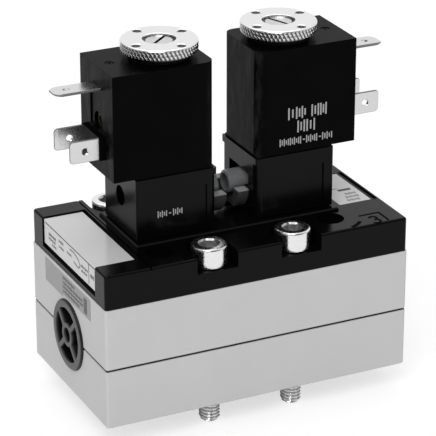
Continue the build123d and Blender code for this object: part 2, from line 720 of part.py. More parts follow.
for side, hand in ((-1, "left"), (1, "right")):
    stud_slot_turn = stud_slot_turns[hand]
    axis_place = (side * pilot_x, 0)
    base_screws = [(x, y) for x, y in pilot_screw_places if x * side > 0]
    inner_face = side * base_inner_x
    # Seen from outside: local x runs to the viewer's right and local y up
    outward = Plane(origin=(0, 0, 0), x_dir=(0, side, 0), z_dir=(side, 0, 0))

    # Gasket under the pilot housing
    with BuildPart() as pilot_gasket:
        with BuildSketch(Plane.XY.offset(plinth_top)):
            with Locations((side * base_middle_x, 0)):
                Rectangle(base_length - 2 * pilot_gasket_inset, base_width - 2 * pilot_gasket_inset)
            with Locations(base_screws):
                Circle(pilot_screw_shank_radius + screw_clearance, mode=Mode.SUBTRACT)
            with Locations([(side * x, 0) for x in (pilot_x, outlet_x)]):
                Circle(seat_passage_radius, mode=Mode.SUBTRACT)
        extrude(amount=pilot_gasket_thickness)
    save(pilot_gasket, f"{hand}_pilot_gasket")

    # Pilot housing: its inner corners are round below the flange that carries the coil
    override_axis = Plane(
        origin=(inner_face, 0, override_height), x_dir=(0, 1, 0), z_dir=(side, 0, 0)
    )
    with BuildPart() as pilot_base:
        with BuildSketch(Plane.XY.offset(base_bottom)):
            with Locations((side * base_middle_x, 0)):
                Rectangle(base_length, base_width)
        extrude(amount=base_height - base_flange_height)
        upright_edges = pilot_base.edges().filter_by(Axis.Z).group_by(Axis.X)
        fillet(upright_edges[-1 if side < 0 else 0], base_inner_radius)
        fillet(upright_edges[0 if side < 0 else -1], base_corner_radius)
        with BuildSketch(Plane.XY.offset(base_top)):
            with Locations((side * base_middle_x, 0)):
                RectangleRounded(base_length, base_width, base_corner_radius)
        extrude(amount=-base_flange_height)
        with BuildSketch(Plane.XZ.offset(base_width / 2)):
            with Locations((side * base_middle_x, base_top - base_panel_drop)):
                Rectangle(
                    base_length - 2 * base_panel_margin, base_panel_height,
                    align=(Align.CENTER, Align.MAX),
                )
        extrude(amount=-base_panel_depth, mode=Mode.SUBTRACT)
        with BuildSketch(outward.offset(base_outer_x)):
            with Locations((0, base_side_hole_height)):
                Circle(base_side_hole_radius)
        extrude(amount=-base_side_hole_depth, mode=Mode.SUBTRACT)
        # Window of the override, and the round trough that guards the button from below. One side
        # of the trough reaches further, and passes the short side of the other housing's trough.
        with BuildSketch(outward.offset(base_inner_x)):
            with Locations((0, guard_top)):
                Rectangle(window_width, window_height, align=(Align.CENTER, Align.MIN))
        extrude(amount=window_depth, mode=Mode.SUBTRACT)
        for across, reach in ((Align.MIN, guard_long_side), (Align.MAX, guard_short_side)):
            with BuildSketch(outward.offset(base_inner_x)):
                with Locations((0, guard_top)):
                    Circle(guard_radius)
                    Circle(guard_inner_radius, mode=Mode.SUBTRACT)
                    Rectangle(
                        2 * guard_radius, 2 * guard_radius,
                        align=(across, Align.MAX), mode=Mode.INTERSECT,
                    )
            extrude(amount=-reach)
        with BuildSketch(override_axis):
            Circle(override_radius + fit_clearance)
        extrude(amount=override_bore_end_x + fit_clearance - base_inner_x, mode=Mode.SUBTRACT)
        # Seat of the core tube, the nozzle in it and the outlet beside the nozzle
        with Locations((*axis_place, base_top)):
            Cylinder(tube_flange_radius, tube_flange_height, align=down, mode=Mode.SUBTRACT)
            Cylinder(tube_radius, base_top - tube_bottom, align=down, mode=Mode.SUBTRACT)
        with Locations((*axis_place, tube_bottom)):
            Cone(seat_base_radius, seat_top_radius, plunger_bottom - seat_gap - tube_bottom, align=up)
            Cylinder(
                seat_passage_radius, plunger_bottom - tube_bottom, align=up, mode=Mode.SUBTRACT,
            )
        with Locations([(side * x, 0, base_bottom) for x in (pilot_x, outlet_x)]):
            Cylinder(seat_passage_radius, tube_bottom - base_bottom, align=up, mode=Mode.SUBTRACT)
        with Locations([(x, y, base_top) for x, y in base_screws]):
            Cylinder(pilot_screw_head_radius, pilot_screw_head_height, align=down, mode=Mode.SUBTRACT)
            Cylinder(
                pilot_screw_shank_radius + screw_clearance, base_top - base_bottom,
                align=down, mode=Mode.SUBTRACT,
            )
    save(pilot_base, f"{hand}_pilot_base")

    # Manual override button, with a driver recess in its end and a stem inside its spring
    override_end = Plane(
        origin=(side * override_end_x, 0, override_height), x_dir=(0, 1, 0), z_dir=(side, 0, 0)
    )
    with BuildPart() as override:
        with BuildSketch(override_end):
            Circle(override_radius)
        extrude(amount=override_length)
        chamfer(override.faces().sort_by(Axis.X)[-1 if side < 0 else 0].edges(), override_edge)
        with BuildSketch(override_end):
            Circle(override_recess_radius)
        extrude(amount=override_recess_depth, mode=Mode.SUBTRACT)
        with BuildSketch(override_end.offset(override_length)):
            Circle(override_stem_radius)
        extrude(amount=override_stem_length)
    save(override, f"{hand}_override")

    override_spring_start_x = side * (override_end_x + override_length + spring_wire_radius)
    override_spring = make_spring(
        override_spring_radius, spring_wire_radius, override_spring_height / override_spring_turns,
        override_spring_height, (override_spring_start_x, 0, override_height), (side, 0, 0),
    )
    save(override_spring, f"{hand}_override_spring")

    # Core tube: flange, thin tube, solid core and the stud for the nut
    with BuildPart() as core_tube:
        with Locations((*axis_place, tube_bottom)):
            Cylinder(tube_radius, coil_top - tube_bottom, align=up)
            Cylinder(tube_bore_radius, core_bottom - tube_bottom, align=up, mode=Mode.SUBTRACT)
        with BuildSketch(Plane.XY.offset(base_top)):
            with Locations(axis_place):
                Circle(tube_flange_radius)
                Circle(tube_radius, mode=Mode.SUBTRACT)
        extrude(amount=-tube_flange_height)
        with Locations((*axis_place, coil_top)):
            Cylinder(stud_radius, nut_top - stud_end_drop - coil_top, align=up)
        with BuildSketch(Plane.XY.offset(nut_top - stud_end_drop)):
            with Locations(axis_place):
                Rectangle(3 * stud_radius, stud_slot_width, rotation=stud_slot_turn)
        extrude(amount=-stud_slot_depth, mode=Mode.SUBTRACT)
    save(core_tube, f"{hand}_core_tube")

    # Plunger, with the blind hole that holds its spring
    with BuildPart() as plunger:
        with Locations((*axis_place, plunger_bottom)):
            Cylinder(plunger_radius, plunger_top - plunger_bottom, align=up)
        with Locations((*axis_place, plunger_top)):
            Cylinder(plunger_hole_radius, plunger_hole_depth, align=down, mode=Mode.SUBTRACT)
    save(plunger, f"{hand}_plunger")

    plunger_spring_bottom = plunger_top - plunger_hole_depth + spring_wire_radius + fit_clearance
    plunger_spring_height = core_bottom - spring_wire_radius - fit_clearance - plunger_spring_bottom
    plunger_spring = make_spring(
        plunger_spring_radius, spring_wire_radius, plunger_spring_height / plunger_spring_turns,
        plunger_spring_height, (*axis_place, plunger_spring_bottom), (0, 0, 1),
    )
    save(plunger_spring, f"{hand}_plunger_spring")

    # Flat seal between the housing and the coil
    with BuildPart() as coil_seal:
        with BuildSketch(Plane.XY.offset(base_top)):
            with Locations((side * base_middle_x, 0)):
                Rectangle(base_length - 2 * pilot_gasket_inset, base_width - 2 * pilot_gasket_inset)
            with Locations(axis_place):
                Circle(tube_radius, mode=Mode.SUBTRACT)
        extrude(amount=coil_seal_thickness)
    save(coil_seal, f"{hand}_coil_seal")

    # Coil case, with the cavity for the flux frame and the contacts' pad on its outer face
    contact_places = [(sign * contact_spacing / 2, contact_height) for sign in (-1, 1)]
    with BuildPart() as coil_case:
        with BuildSketch(Plane.XY.offset(coil_bottom)):
            with Locations((side * coil_middle_x, 0)):
                Rectangle(coil_length, base_width)
        extrude(amount=coil_height)
        inner_edges = coil_case.edges().filter_by(Axis.Z).group_by(Axis.X)[-1 if side < 0 else 0]
        fillet(inner_edges, coil_corner_radius)
        pad_top = contact_height + terminal_pad_height / 2
        with BuildSketch(outward.offset(coil_outer_x)):
            with Locations((0, contact_height)):
                Rectangle(terminal_pad_width, terminal_pad_height)
        extrude(amount=terminal_pad_proud)
        # Shallow field between the pad and the ground blade, round the hole of the insert
        band_height = ground_height - blade_thickness / 2 - pad_top - 2 * terminal_band_margin
        with BuildSketch(outward.offset(coil_outer_x)):
            with Locations((0, pad_top + terminal_band_margin)):
                Rectangle(terminal_band_width, band_height, align=(Align.CENTER, Align.MIN))
        extrude(amount=-terminal_band_depth, mode=Mode.SUBTRACT)
        with Locations((side * (coil_outer_x - coil_dimple_inset), 0, coil_top)):
            Cylinder(coil_dimple_radius, coil_dimple_depth, align=down, mode=Mode.SUBTRACT)
        with Locations((*axis_place, coil_bottom)):
            Cylinder(coil_bore_radius, coil_height, align=up, mode=Mode.SUBTRACT)
        with Locations((*axis_place, frame_bottom)):
            Cylinder(frame_radius, cavity_height, align=up, mode=Mode.SUBTRACT)
        # Slots that hold the blades and the hole that holds the insert
        with BuildSketch(outward.offset(coil_outer_x + terminal_pad_proud)):
            with Locations(contact_places):
                Rectangle(blade_thickness, blade_width)
        extrude(amount=-(terminal_pad_proud + blade_root), mode=Mode.SUBTRACT)
        with BuildSketch(outward.offset(coil_outer_x)):
            with Locations((0, ground_height)):
                Rectangle(blade_width, blade_thickness)
        extrude(amount=-blade_root, mode=Mode.SUBTRACT)
        with BuildSketch(outward.offset(coil_outer_x)):
            with Locations((0, insert_height)):
                Circle(insert_radius)
        extrude(amount=-(insert_recess + insert_length), mode=Mode.SUBTRACT)
    save(coil_case, f"{hand}_coil_case")

    # Steel frame round the winding, open at the middle
    with BuildPart() as flux_frame:
        with Locations((*axis_place, frame_bottom)):
            Cylinder(frame_radius, cavity_height, align=up)
            Cylinder(coil_bore_radius, cavity_height, align=up, mode=Mode.SUBTRACT)
        with Locations((*axis_place, frame_bottom + frame_plate)):
            Cylinder(
                frame_radius - frame_wall, cavity_height - 2 * frame_plate, align=up, mode=Mode.SUBTRACT,
            )
    save(flux_frame, f"{hand}_flux_frame")

    bobbin_bottom = frame_bottom + frame_plate
    bobbin_height = cavity_height - 2 * frame_plate
    bobbin_radius = frame_radius - frame_wall
    with BuildPart() as bobbin:
        with Locations((*axis_place, bobbin_bottom)):
            Cylinder(bobbin_radius, bobbin_height, align=up)
        with BuildSketch(Plane.XY.offset(bobbin_bottom + bobbin_flange)):
            with Locations(axis_place):
                Circle(frame_radius)
                Circle(coil_bore_radius + bobbin_wall, mode=Mode.SUBTRACT)
        extrude(amount=bobbin_height - 2 * bobbin_flange, mode=Mode.SUBTRACT)
        with Locations((*axis_place, bobbin_bottom)):
            Cylinder(coil_bore_radius, bobbin_height, align=up, mode=Mode.SUBTRACT)
    save(bobbin, f"{hand}_bobbin")

    with BuildPart() as winding:
        with BuildSketch(Plane.XY.offset(bobbin_bottom + bobbin_flange)):
            with Locations(axis_place):
                Circle(winding_radius)
                Circle(coil_bore_radius + bobbin_wall, mode=Mode.SUBTRACT)
        extrude(amount=bobbin_height - 2 * bobbin_flange)
    save(winding, f"{hand}_winding")

    # Blade terminals and the threaded insert between them
    with BuildPart() as ground_tab:
        with BuildSketch(Plane.XY.offset(ground_height - blade_thickness / 2)):
            with Locations((side * (coil_outer_x - blade_root), 0)):
                Rectangle(
                    blade_root + ground_reach, blade_width,
                    align=(Align.MIN if side > 0 else Align.MAX, Align.CENTER),
                )
            tip = (side * (coil_outer_x + ground_reach - blade_hole_from_tip), 0)
            with Locations(tip):
                Circle(blade_hole_radius, mode=Mode.SUBTRACT)
        extrude(amount=blade_thickness)
        tip_edges = ground_tab.edges().filter_by(Axis.Z).group_by(Axis.X)[-1 if side > 0 else 0]
        chamfer(tip_edges, blade_tip_chamfer)
    save(ground_tab, f"{hand}_ground_tab")

    with BuildPart() as contact_tabs:
        for y, height in contact_places:
            with BuildSketch(Plane.XZ.offset(-y - blade_thickness / 2)):
                with Locations((side * (coil_outer_x - blade_root), height)):
                    Rectangle(
                        blade_root + contact_reach, blade_width,
                        align=(Align.MIN if side > 0 else Align.MAX, Align.CENTER),
                    )
                with Locations((side * (coil_outer_x + contact_reach - blade_hole_from_tip), height)):
                    Circle(blade_hole_radius, mode=Mode.SUBTRACT)
            extrude(amount=blade_thickness)
        tip_edges = contact_tabs.edges().filter_by(Axis.Y).group_by(Axis.X)[-1 if side > 0 else 0]
        chamfer(tip_edges, blade_tip_chamfer)
    save(contact_tabs, f"{hand}_contact_tabs")

    with BuildPart() as terminal_insert:
        with BuildSketch(outward.offset(coil_outer_x - insert_recess)):
            with Locations((0, insert_height)):
                Circle(insert_radius)
                Circle(insert_thread_radius, mode=Mode.SUBTRACT)
        extrude(amount=-insert_length)
    save(terminal_insert, f"{hand}_terminal_insert")

    # Ring and knurled nut on the stud
    with BuildPart() as nut_washer:
        with BuildSketch(Plane.XY.offset(coil_top)):
            with Locations(axis_place):
                Circle(nut_ring_radius)
                Circle(nut_ring_bore_radius, mode=Mode.SUBTRACT)
        extrude(amount=nut_ring_height)
    save(nut_washer, f"{hand}_nut_washer")

    with BuildPart() as coil_nut:
        with Locations((*axis_place, nut_bottom)):
            Cylinder(nut_radius, nut_height, align=up)
        chamfer(coil_nut.faces().sort_by(Axis.Z)[-1].edges(), nut_edge)
        with Locations((*axis_place, nut_bottom)):
            Cylinder(stud_radius + fit_clearance, nut_height, align=up, mode=Mode.SUBTRACT)
        with Locations((*axis_place, nut_top)):
            Cylinder(nut_recess_radius, nut_recess_depth, align=down, mode=Mode.SUBTRACT)
        # Conical pits for a spanner in the top face
        with Locations((*axis_place, nut_top)):
            with PolarLocations(nut_pit_place_radius, 4, start_angle=nut_pit_angle):
                Cone(0, nut_pit_radius, nut_pit_depth, align=down, mode=Mode.SUBTRACT)
    save(coil_nut, f"{hand}_coil_nut")
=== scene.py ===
"""Directional control valve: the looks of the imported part, laid out as a Blender add-on.

Everything is in metres, in the part's own frame: +X along the spool, +Y to the back, +Z up.
"""

import json
import math

import bmesh
import bpy
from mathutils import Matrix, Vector


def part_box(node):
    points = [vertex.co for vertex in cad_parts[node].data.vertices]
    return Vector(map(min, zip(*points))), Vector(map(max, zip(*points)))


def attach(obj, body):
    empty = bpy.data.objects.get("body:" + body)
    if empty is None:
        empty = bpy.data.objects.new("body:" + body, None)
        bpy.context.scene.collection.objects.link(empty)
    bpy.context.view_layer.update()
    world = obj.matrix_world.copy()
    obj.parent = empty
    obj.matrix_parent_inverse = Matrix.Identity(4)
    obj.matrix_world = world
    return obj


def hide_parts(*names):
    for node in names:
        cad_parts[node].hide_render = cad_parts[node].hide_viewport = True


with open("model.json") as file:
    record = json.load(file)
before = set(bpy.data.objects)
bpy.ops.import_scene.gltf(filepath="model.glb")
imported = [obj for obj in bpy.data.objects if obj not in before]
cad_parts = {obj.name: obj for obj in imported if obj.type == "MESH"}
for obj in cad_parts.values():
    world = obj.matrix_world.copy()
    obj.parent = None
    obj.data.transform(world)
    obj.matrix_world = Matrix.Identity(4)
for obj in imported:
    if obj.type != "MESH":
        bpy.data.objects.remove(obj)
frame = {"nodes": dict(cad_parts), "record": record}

bl_info = {
    "name": "Directional control valve",
    "version": (1, 0, 0),
    "blender": (4, 5, 0),
    "location": "3D View > Sidebar > Valve",
    "description": "Dresses the packed valve: finishes, knurled nuts, screws, labels and studio",
    "category": "Object",
}

SIDES = {"left": -1, "right": 1}
MM = 0.001
MOUNTS = {mount["name"]: mount for mount in frame["record"]["mounts"]}

# The photograph's view: where the camera stands, and its angle round and above the valve
CAMERA_PLACE = (-0.2745, -0.5703, 0.3181)
CAMERA_AZIMUTH = -25.67
CAMERA_ELEVATION = 23.43
CAMERA_LENS = 202.9

# The studio: the ways to the backdrop and to the dark flag, and how bright the room is as light,
# at its darkest in metal, and before the flag; then how much of the floor's white is its own glow
BACKDROP_WAY = (0.35, 0.75, 0.55)
FLAG_WAY = (-0.79, 0.57, -0.22)
ROOM_LIGHT = 0.5
ROOM_DARK = 0.08
FLAG_DARK = 0.12
FLOOR_GLOW = 0.62

# In degrees: from where an edge is a crease or is rounded, and up to where two flats are one
CREASE = 35
ROUNDED = 40
FLAT = 0.5

# The nuts: the lean of the knurl, and the pits, blind holes in the upper face with sloping walls
KNURL_LEAN = math.radians(30)
PIT_PLACE = 8.6 * MM
PIT_RADIUS = 1.4 * MM
PIT_DEPTH = 0.9 * MM
PIT_WALL = 1.0 * MM
PIT_ANGLES = tuple(math.radians(turn) for turn in (20, 110, 200, 290))

# The nuts' bore round the stud, and the oval recess above it, with its gap and rounded edge
STUD_RADIUS = 3.7 * MM
BORE_CLEARANCE = 0.08 * MM
RECESS_TURN = math.radians(-26)
RECESS_DEPTH = 0.8 * MM
RECESS_GAP = 0.1 * MM
RECESS_OVAL = 0.7 * MM
RECESS_EDGE = 0.3 * MM

# The end plugs' face: its radius, and the width of the painted gap shadow round its edge
PLUG_RADIUS = 10.25 * MM
PLUG_GAP_SHADOW = 0.35 * MM

# The housings: the cover's plinth below them, the depth of their panels, how far below their
# top the guards' rims with painted highlight lie, and how far out the painted light between them
# reaches
PLINTH_HEIGHT = 0.9 * MM
PANEL_DEPTH = 0.5 * MM
GUARD_DROP = 10.1 * MM
GUARD_RIM = 0.3 * MM
PAINTED_LIGHT_REACH = (5.3 * MM, 5.9 * MM)

# The discs in the dimples of the coils' tops, and how far below the top they lie
GATE_PLACE = 32.6 * MM
GATE_RADIUS = 1.22 * MM
GATE_EDGE = 0.2 * MM
GATE_DROP = 0.15 * MM
GATE_FOOT = 0.79 * MM

# The mounting screws, M6 with socket heads: the depth and flare of the socket's mouth, its
# drilled point, the edge of the head's seat, and the length and slope of the tip's taper
SCREW_HEAD_RADIUS = 5.0 * MM
SCREW_HEAD_HEIGHT = 6.0 * MM
SCREW_SHANK = 2.7 * MM
SCREW_THREAD = 3.0 * MM
HEAD_RIM = 0.7 * MM
SOCKET_MOUTH = 0.45 * MM
SOCKET_FLARE = 1.22
SOCKET_POINT = 0.6 * MM
SEAT_EDGE = 0.3 * MM
TIP_TAPER = 1.2 * MM
TIP_SLOPE = 0.6

# The blades: the contact blades' thickness, the rounding of a sheared edge, what the coined tip
# loses on each face, and the chamfer of the hole
CONTACT_THICKNESS = 0.8 * MM
SHEARED_ROUNDING = 0.16 * MM
COIN_DEPTH = 0.22 * MM
HOLE_CHAMFER = 0.12 * MM

# Heights of the bars in a row of small print, as shares of the tallest
PRINT_RHYTHM = (1.0, 0.7, 1.0, 0.55, 0.85)


def linear(code):
    """An sRGB hex colour such as #C9CACA as three linear values."""
    values = []
    for start in (1, 3, 5):
        share = int(code[start:start + 2], 16) / 255
        values.append(share / 12.92 if share <= 0.04045 else ((share + 0.055) / 1.055) ** 2.4)
    return tuple(values)


# Sizes and colours that a user would change


def size(name, description, default):
    return bpy.props.FloatProperty(
        name=name, description=description, default=default * MM, min=0.0, subtype="DISTANCE",
        unit="LENGTH", precision=5,
    )


def colour(name, description, code):
    return bpy.props.FloatVectorProperty(
        name=name, description=description, default=linear(code), min=0.0, max=1.0,
        subtype="COLOR", size=3,
    )


class ValveSizes(bpy.types.PropertyGroup):
    """Real sizes of the details that the dressing adds, given here in millimetres."""

    moulded_edge: size("Moulded edge", "Rounding on the edges of the black mouldings", 0.25)
    cast_edge: size("Cast edge", "Rounding on the edges of the cast slabs", 0.3)
    small_edge: size("Small edge", "Rounding on the edges of the smallest pieces", 0.1)
    knurl_pitch: size("Knurl pitch", "Distance between two ridges of the nuts' knurl", 1.2)
    knurl_depth: size("Knurl depth", "Depth of the nuts' knurl", 0.34)
    nut_edge: size("Nut edge", "Rounding of the nuts' upper rim", 0.6)
    socket_width: size("Socket width", "Across the flats of the mounting screws' sockets", 5.0)
    socket_depth: size("Socket depth", "Depth of the mounting screws' sockets", 3.0)
    thread_pitch: size("Thread pitch", "Pitch of the mounting screws' thread", 1.0)
    thread_depth: size("Thread depth", "Depth of the mounting screws' thread", 0.5)
    blade_hole: size("Blade hole", "Radius of the hole near a blade's tip", 0.9)
    blade_hole_place: size("Blade hole place", "From a blade's tip to the middle of its hole", 4.4)
    blade_corner: size("Blade corner", "Radius of the corners of a contact blade's tip", 1.1)
    ground_corner: size("Ground corner", "Radius of the corners of a ground blade's tip", 2.2)
    blade_lead: size("Blade lead", "Length of the coined taper at a blade's tip", 1.2)
    ink_thickness: size("Ink thickness", "Thickness of print, drawn thicker than it is", 0.03)


class ValveColours(bpy.types.PropertyGroup):
    """Colours of the finishes."""

    body: colour("Body", "Blasted aluminium of the two slabs", "#CBCBCB")
    black: colour("Black moulding", "Cover and pilot housings", "#060607")
    coil: colour("Coil", "Overmoulded coil cases", "#050505")
    label: colour("Label", "Film of the labels", "#CECECE")
    sticker: colour("Sticker", "Grey stickers on the end face", "#969696")
    ink: colour("Ink", "Print on the black mouldings", "#A6A6A6")
    label_ink: colour("Label ink", "Print on the labels", "#28282A")
    floor: colour("Floor", "Pale studio floor", "#F4F4F4")


def sizes():
    return bpy.context.scene.valve_sizes


def colours():
    return bpy.context.scene.valve_colours


# Making of materials


def add_node(tree, kind, sockets, **settings):
    """Adds a node with its settings. A socket takes a value, or another node or output to link."""
    node = tree.nodes.new(kind)
    for name, value in settings.items():
        setattr(node, name, value)
    for name, value in sockets.items():
        if isinstance(value, bpy.types.Node):
            value = next(output for output in value.outputs if output.enabled)
        if isinstance(value, bpy.types.NodeSocket):
            tree.links.new(value, node.inputs[name])
        else:
            node.inputs[name].default_value = value
    return node


def in_part(tree):
    """The shaded point in the part's own frame."""
    return add_node(tree, "ShaderNodeTexCoord", {}).outputs["Object"]


def grain(tree, grain_size, detail=3.0, roughness=0.5):
    """Noise in the part's own frame whose spots are about grain_size metres across."""
    return add_node(tree, "ShaderNodeTexNoise", {
        "Vector": in_part(tree), "Scale": 1 / grain_size, "Detail": detail, "Roughness": roughness,
    })


def between(tree, factor, low, high):
    """The factor, from 0.3 to 0.7 as noise gives it, spread over low to high."""
    return add_node(tree, "ShaderNodeMapRange", {
        "Value": factor, "From Min": 0.3, "From Max": 0.7, "To Min": low, "To Max": high,
    })


def tint(tree, factor, base, low, high):
    """A colour that noise makes from low to high times as bright as the base."""
    darker, lighter = shade(base, low), shade(base, high)
    return add_node(tree, "ShaderNodeMix", {
        "Factor": between(tree, factor, 0.0, 1.0), "A": (*darker, 1), "B": (*lighter, 1),
    }, data_type="RGBA")


def shade(base, share):
    """A colour, darker or lighter by a share."""
    return tuple(min(1.0, channel * share) for channel in base)


def surface(tree, spots, low, high, depth, sockets):
    """A Principled shader, rough from low to high over spots, which stand out if depth is given."""
    if depth:
        sockets["Normal"] = add_node(
            tree, "ShaderNodeBump", {"Strength": 1.0, "Distance": depth, "Height": spots},
        )
    shader = add_node(
        tree, "ShaderNodeBsdfPrincipled", {"Roughness": between(tree, spots, low, high), **sockets},
    )
    add_node(tree, "ShaderNodeOutputMaterial", {"Surface": shader})


def metal(tree, code, low, high, grain_size, depth):
    """A metal of one colour, rough from low to high over grains of that size."""
    surface(tree, grain(tree, grain_size, roughness=0.6), low, high, depth, {
        "Metallic": 1.0, "Base Color": (*linear(code), 1),
    })


def plastic(tree, base, low, high, grain_size, depth, level=0.5, evenness=0.93):
    """A plain moulding, film or rubber, rough from low to high over spots of that size."""
    spots = grain(tree, grain_size)
    surface(tree, spots, low, high, depth, {
        "Base Color": tint(tree, spots, base, evenness, 2 - evenness), "Specular IOR Level": level,
    })


def blasted_aluminium(tree):
    """Die-cast aluminium, bead-blasted: matt and pale, with a fine grain and faint clouding."""
    clouds = grain(tree, 14 * MM)
    # The blasting grit is about 0.15 mm, drawn at 0.4 mm so that it shows
    grit = grain(tree, 0.4 * MM, roughness=0.6)
    surface(tree, grit, 0.46, 0.62, 0.012 * MM, {
        "Base Color": tint(tree, clouds, colours().body, 0.985, 1.015), "Specular IOR Level": 0.2,
    })


def moulded_nylon(tree):
    """Glass-filled nylon from a polished mould: black, with a soft gloss and slight flow waves."""
    black = tint(tree, grain(tree, 9 * MM, 2.0), colours().black, 0.85, 1.15)
    low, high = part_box("left_pilot_base")
    parts = add_node(tree, "ShaderNodeSeparateXYZ", {"Vector": in_part(tree)}).outputs
    # Between the housings, inwards of the troughs' middle, the faces get painted light: grey where
    # light falls on their matt surface
    across = add_node(tree, "ShaderNodeMath", {0: parts["X"]}, operation="ABSOLUTE")
    inner = add_node(tree, "ShaderNodeMapRange", {
        "Value": across, "From Min": PAINTED_LIGHT_REACH[0], "From Max": PAINTED_LIGHT_REACH[1],
        "To Min": 1.0, "To Max": 0.0,
    })
    raised = add_node(
        tree, "ShaderNodeMath", {0: parts["Z"], 1: low.z + 2 * MM}, operation="GREATER_THAN",
    )
    # The mask of the painted light: inwards of the troughs, and above the housings' foot
    eroded = add_node(tree, "ShaderNodeMath", {0: inner, 1: raised}, operation="MULTIPLY")
    matt = add_node(tree, "ShaderNodeMix", {
        "Factor": eroded, "A": black, "B": (*linear("#3C3C3D"), 1),
    }, data_type="RGBA")
    # Painted highlight: the rims of the troughs that guard the override buttons are painted pale
    # where light catches their tops
    at_rim = add_node(tree, "ShaderNodeMath", {
        0: parts["Z"], 1: high.z - GUARD_DROP, 2: GUARD_RIM,
    }, operation="COMPARE")
    painted_lit = add_node(tree, "ShaderNodeMath", {0: inner, 1: at_rim}, operation="MULTIPLY")
    skin_colour = add_node(tree, "ShaderNodeMix", {
        "Factor": painted_lit, "A": matt, "B": (*linear("#8C8C8C"), 1),
    }, data_type="RGBA")
    fibres = grain(tree, 0.5 * MM)
    surface(tree, fibres, 0.16, 0.26, 0.003 * MM, {
        "Base Color": skin_colour, "Specular IOR Level": 0.1,
    })


def painted_mark_shade(tree):
    """Dead black nylon strips without any gloss, painted as the shade in the cover's moulded marks.
    """
    plastic(tree, linear("#040404"), 0.7, 0.85, 0.3 * MM, 0.01 * MM, 0.03)


def spark_eroded_polyester(tree):
    """Coil overmoulding in black polyester from a spark-eroded mould: fine matt grain, dull."""
    black = tint(tree, grain(tree, 8 * MM), colours().coil, 0.8, 1.25)
    # Painted sheen: grey upright streaks on the end faces, the sides that carry the terminals
    facing_way = add_node(tree, "ShaderNodeTexCoord", {}).outputs["Normal"]
    sideways = add_node(tree, "ShaderNodeSeparateXYZ", {"Vector": facing_way}).outputs["X"]
    end_face = add_node(tree, "ShaderNodeMath", {0: sideways}, operation="ABSOLUTE")
    upright = add_node(
        tree, "ShaderNodeVectorMath", {0: in_part(tree), 1: (1.0, 1.0, 0.35)}, operation="MULTIPLY",
    )
    streaks = add_node(tree, "ShaderNodeTexNoise", {
        "Vector": upright, "Scale": 1 / (2.6 * MM), "Detail": 3.0, "Roughness": 0.55,
    })
    painted_lit = add_node(
        tree, "ShaderNodeMapRange", {"Value": streaks, "From Min": 0.47, "From Max": 0.72},
    )
    painted_light_mask = add_node(tree, "ShaderNodeMath", {0: painted_lit, 1: end_face}, operation="MULTIPLY")
    skin_colour = add_node(tree, "ShaderNodeMix", {
        "Factor": painted_light_mask, "A": black, "B": (*linear("#272727"), 1),
    }, data_type="RGBA")
    # The mould's grain is about 0.1 mm, drawn at 0.35 mm so that it shows
    pits = grain(tree, 0.35 * MM, 2.0, 0.6)
    surface(tree, pits, 0.26, 0.4, 0.006 * MM, {
        "Base Color": skin_colour, "Specular IOR Level": 0.025,
    })


def from_nut_axis(tree):
    """The distance from the axis of whichever nut is nearer."""
    low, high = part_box("right_coil_nut")
    away = add_node(tree, "ShaderNodeVectorMath", {0: in_part(tree)}, operation="ABSOLUTE")
    for operation, other in (("SUBTRACT", ((low.x + high.x) / 2, 0, 0)), ("MULTIPLY", (1, 1, 0))):
        away = add_node(tree, "ShaderNodeVectorMath", {0: away, 1: other}, operation=operation)
    return add_node(tree, "ShaderNodeVectorMath", {0: away}, operation="LENGTH")


def turned_nickel(tree):
    """Bright nickel plate over turned steel: near-white mirror with the fine rings of the tool."""
    # The tool's feed is about 0.1 mm, drawn at 0.3 mm so that it shows
    rings = add_node(tree, "ShaderNodeTexNoise", {
        "W": from_nut_axis(tree), "Scale": 1 / (0.3 * MM), "Detail": 2.0,
    }, noise_dimensions="1D")
    surface(tree, rings, 0.12, 0.24, 0.006 * MM, {
        "Metallic": 1.0, "Base Color": (*linear("#E4E4E4"), 1),
    })


def knurled_nickel(tree):
    """Nickel plate over a rolled diamond knurl: bright ridges, and grooves darkened with painted
    shade.
    """
    low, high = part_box("right_coil_nut")
    radius, depth = (high.x - low.x) / 2, sizes().knurl_depth
    # Painted shade: the plate is darker the deeper it lies in the knurl's grooves
    ridges = add_node(tree, "ShaderNodeMapRange", {
        "Value": from_nut_axis(tree),
        "From Min": radius - 0.85 * depth, "From Max": radius - 0.2 * depth,
    })
    plate = add_node(tree, "ShaderNodeMix", {
        "Factor": ridges, "A": (*linear("#3A3A3A"), 1), "B": (*linear("#ECECEC"), 1),
    }, data_type="RGBA")
    surface(tree, grain(tree, 0.3 * MM, 2.0), 0.14, 0.24, 0, {"Metallic": 1.0, "Base Color": plate})


def painted_recess_shade(tree):
    """Steel in the nuts' pits and recess, painted dark as shade."""
    metal(tree, "#525252", 0.4, 0.55, 0.3 * MM, 0.004 * MM)


def bright_zinc(tree):
    """Bright zinc plate on cold-headed steel: silvery, with a soft uneven gloss."""
    metal(tree, "#E4E4E4", 0.12, 0.34, 0.5 * MM, 0.008 * MM)


def painted_socket_shade(tree):
    """Zinc plate in the mounting screws' sockets, painted a darker grey as shade."""
    metal(tree, "#BCBCBC", 0.3, 0.48, 0.5 * MM, 0.02 * MM)


def tin_plate(tree):
    """Tin plate on stamped brass: pale and satin, with faint rolling marks."""
    metal(tree, "#D2D2D2", 0.18, 0.3, 0.5 * MM, 0.004 * MM)


def shaded_sheared_edge(tree):
    """Sheared edges of the stamped blades: rougher, and painted greyer as shade along the outline.
    """
    metal(tree, "#868686", 0.5, 0.65, 0.3 * MM, 0.01 * MM)


def shaded_turned_brass(tree):
    """Turned brass of the threaded inserts, deep in their holes: painted dark brown as their shade,
    dull gloss.
    """
    metal(tree, "#5A5144", 0.26, 0.4, 0.3 * MM, 0.002 * MM)


def black_oxide(tree):
    """Black oxide on steel screws: near black with an oily sheen."""
    metal(tree, "#2A2A2C", 0.28, 0.42, 0.4 * MM, 0.002 * MM)


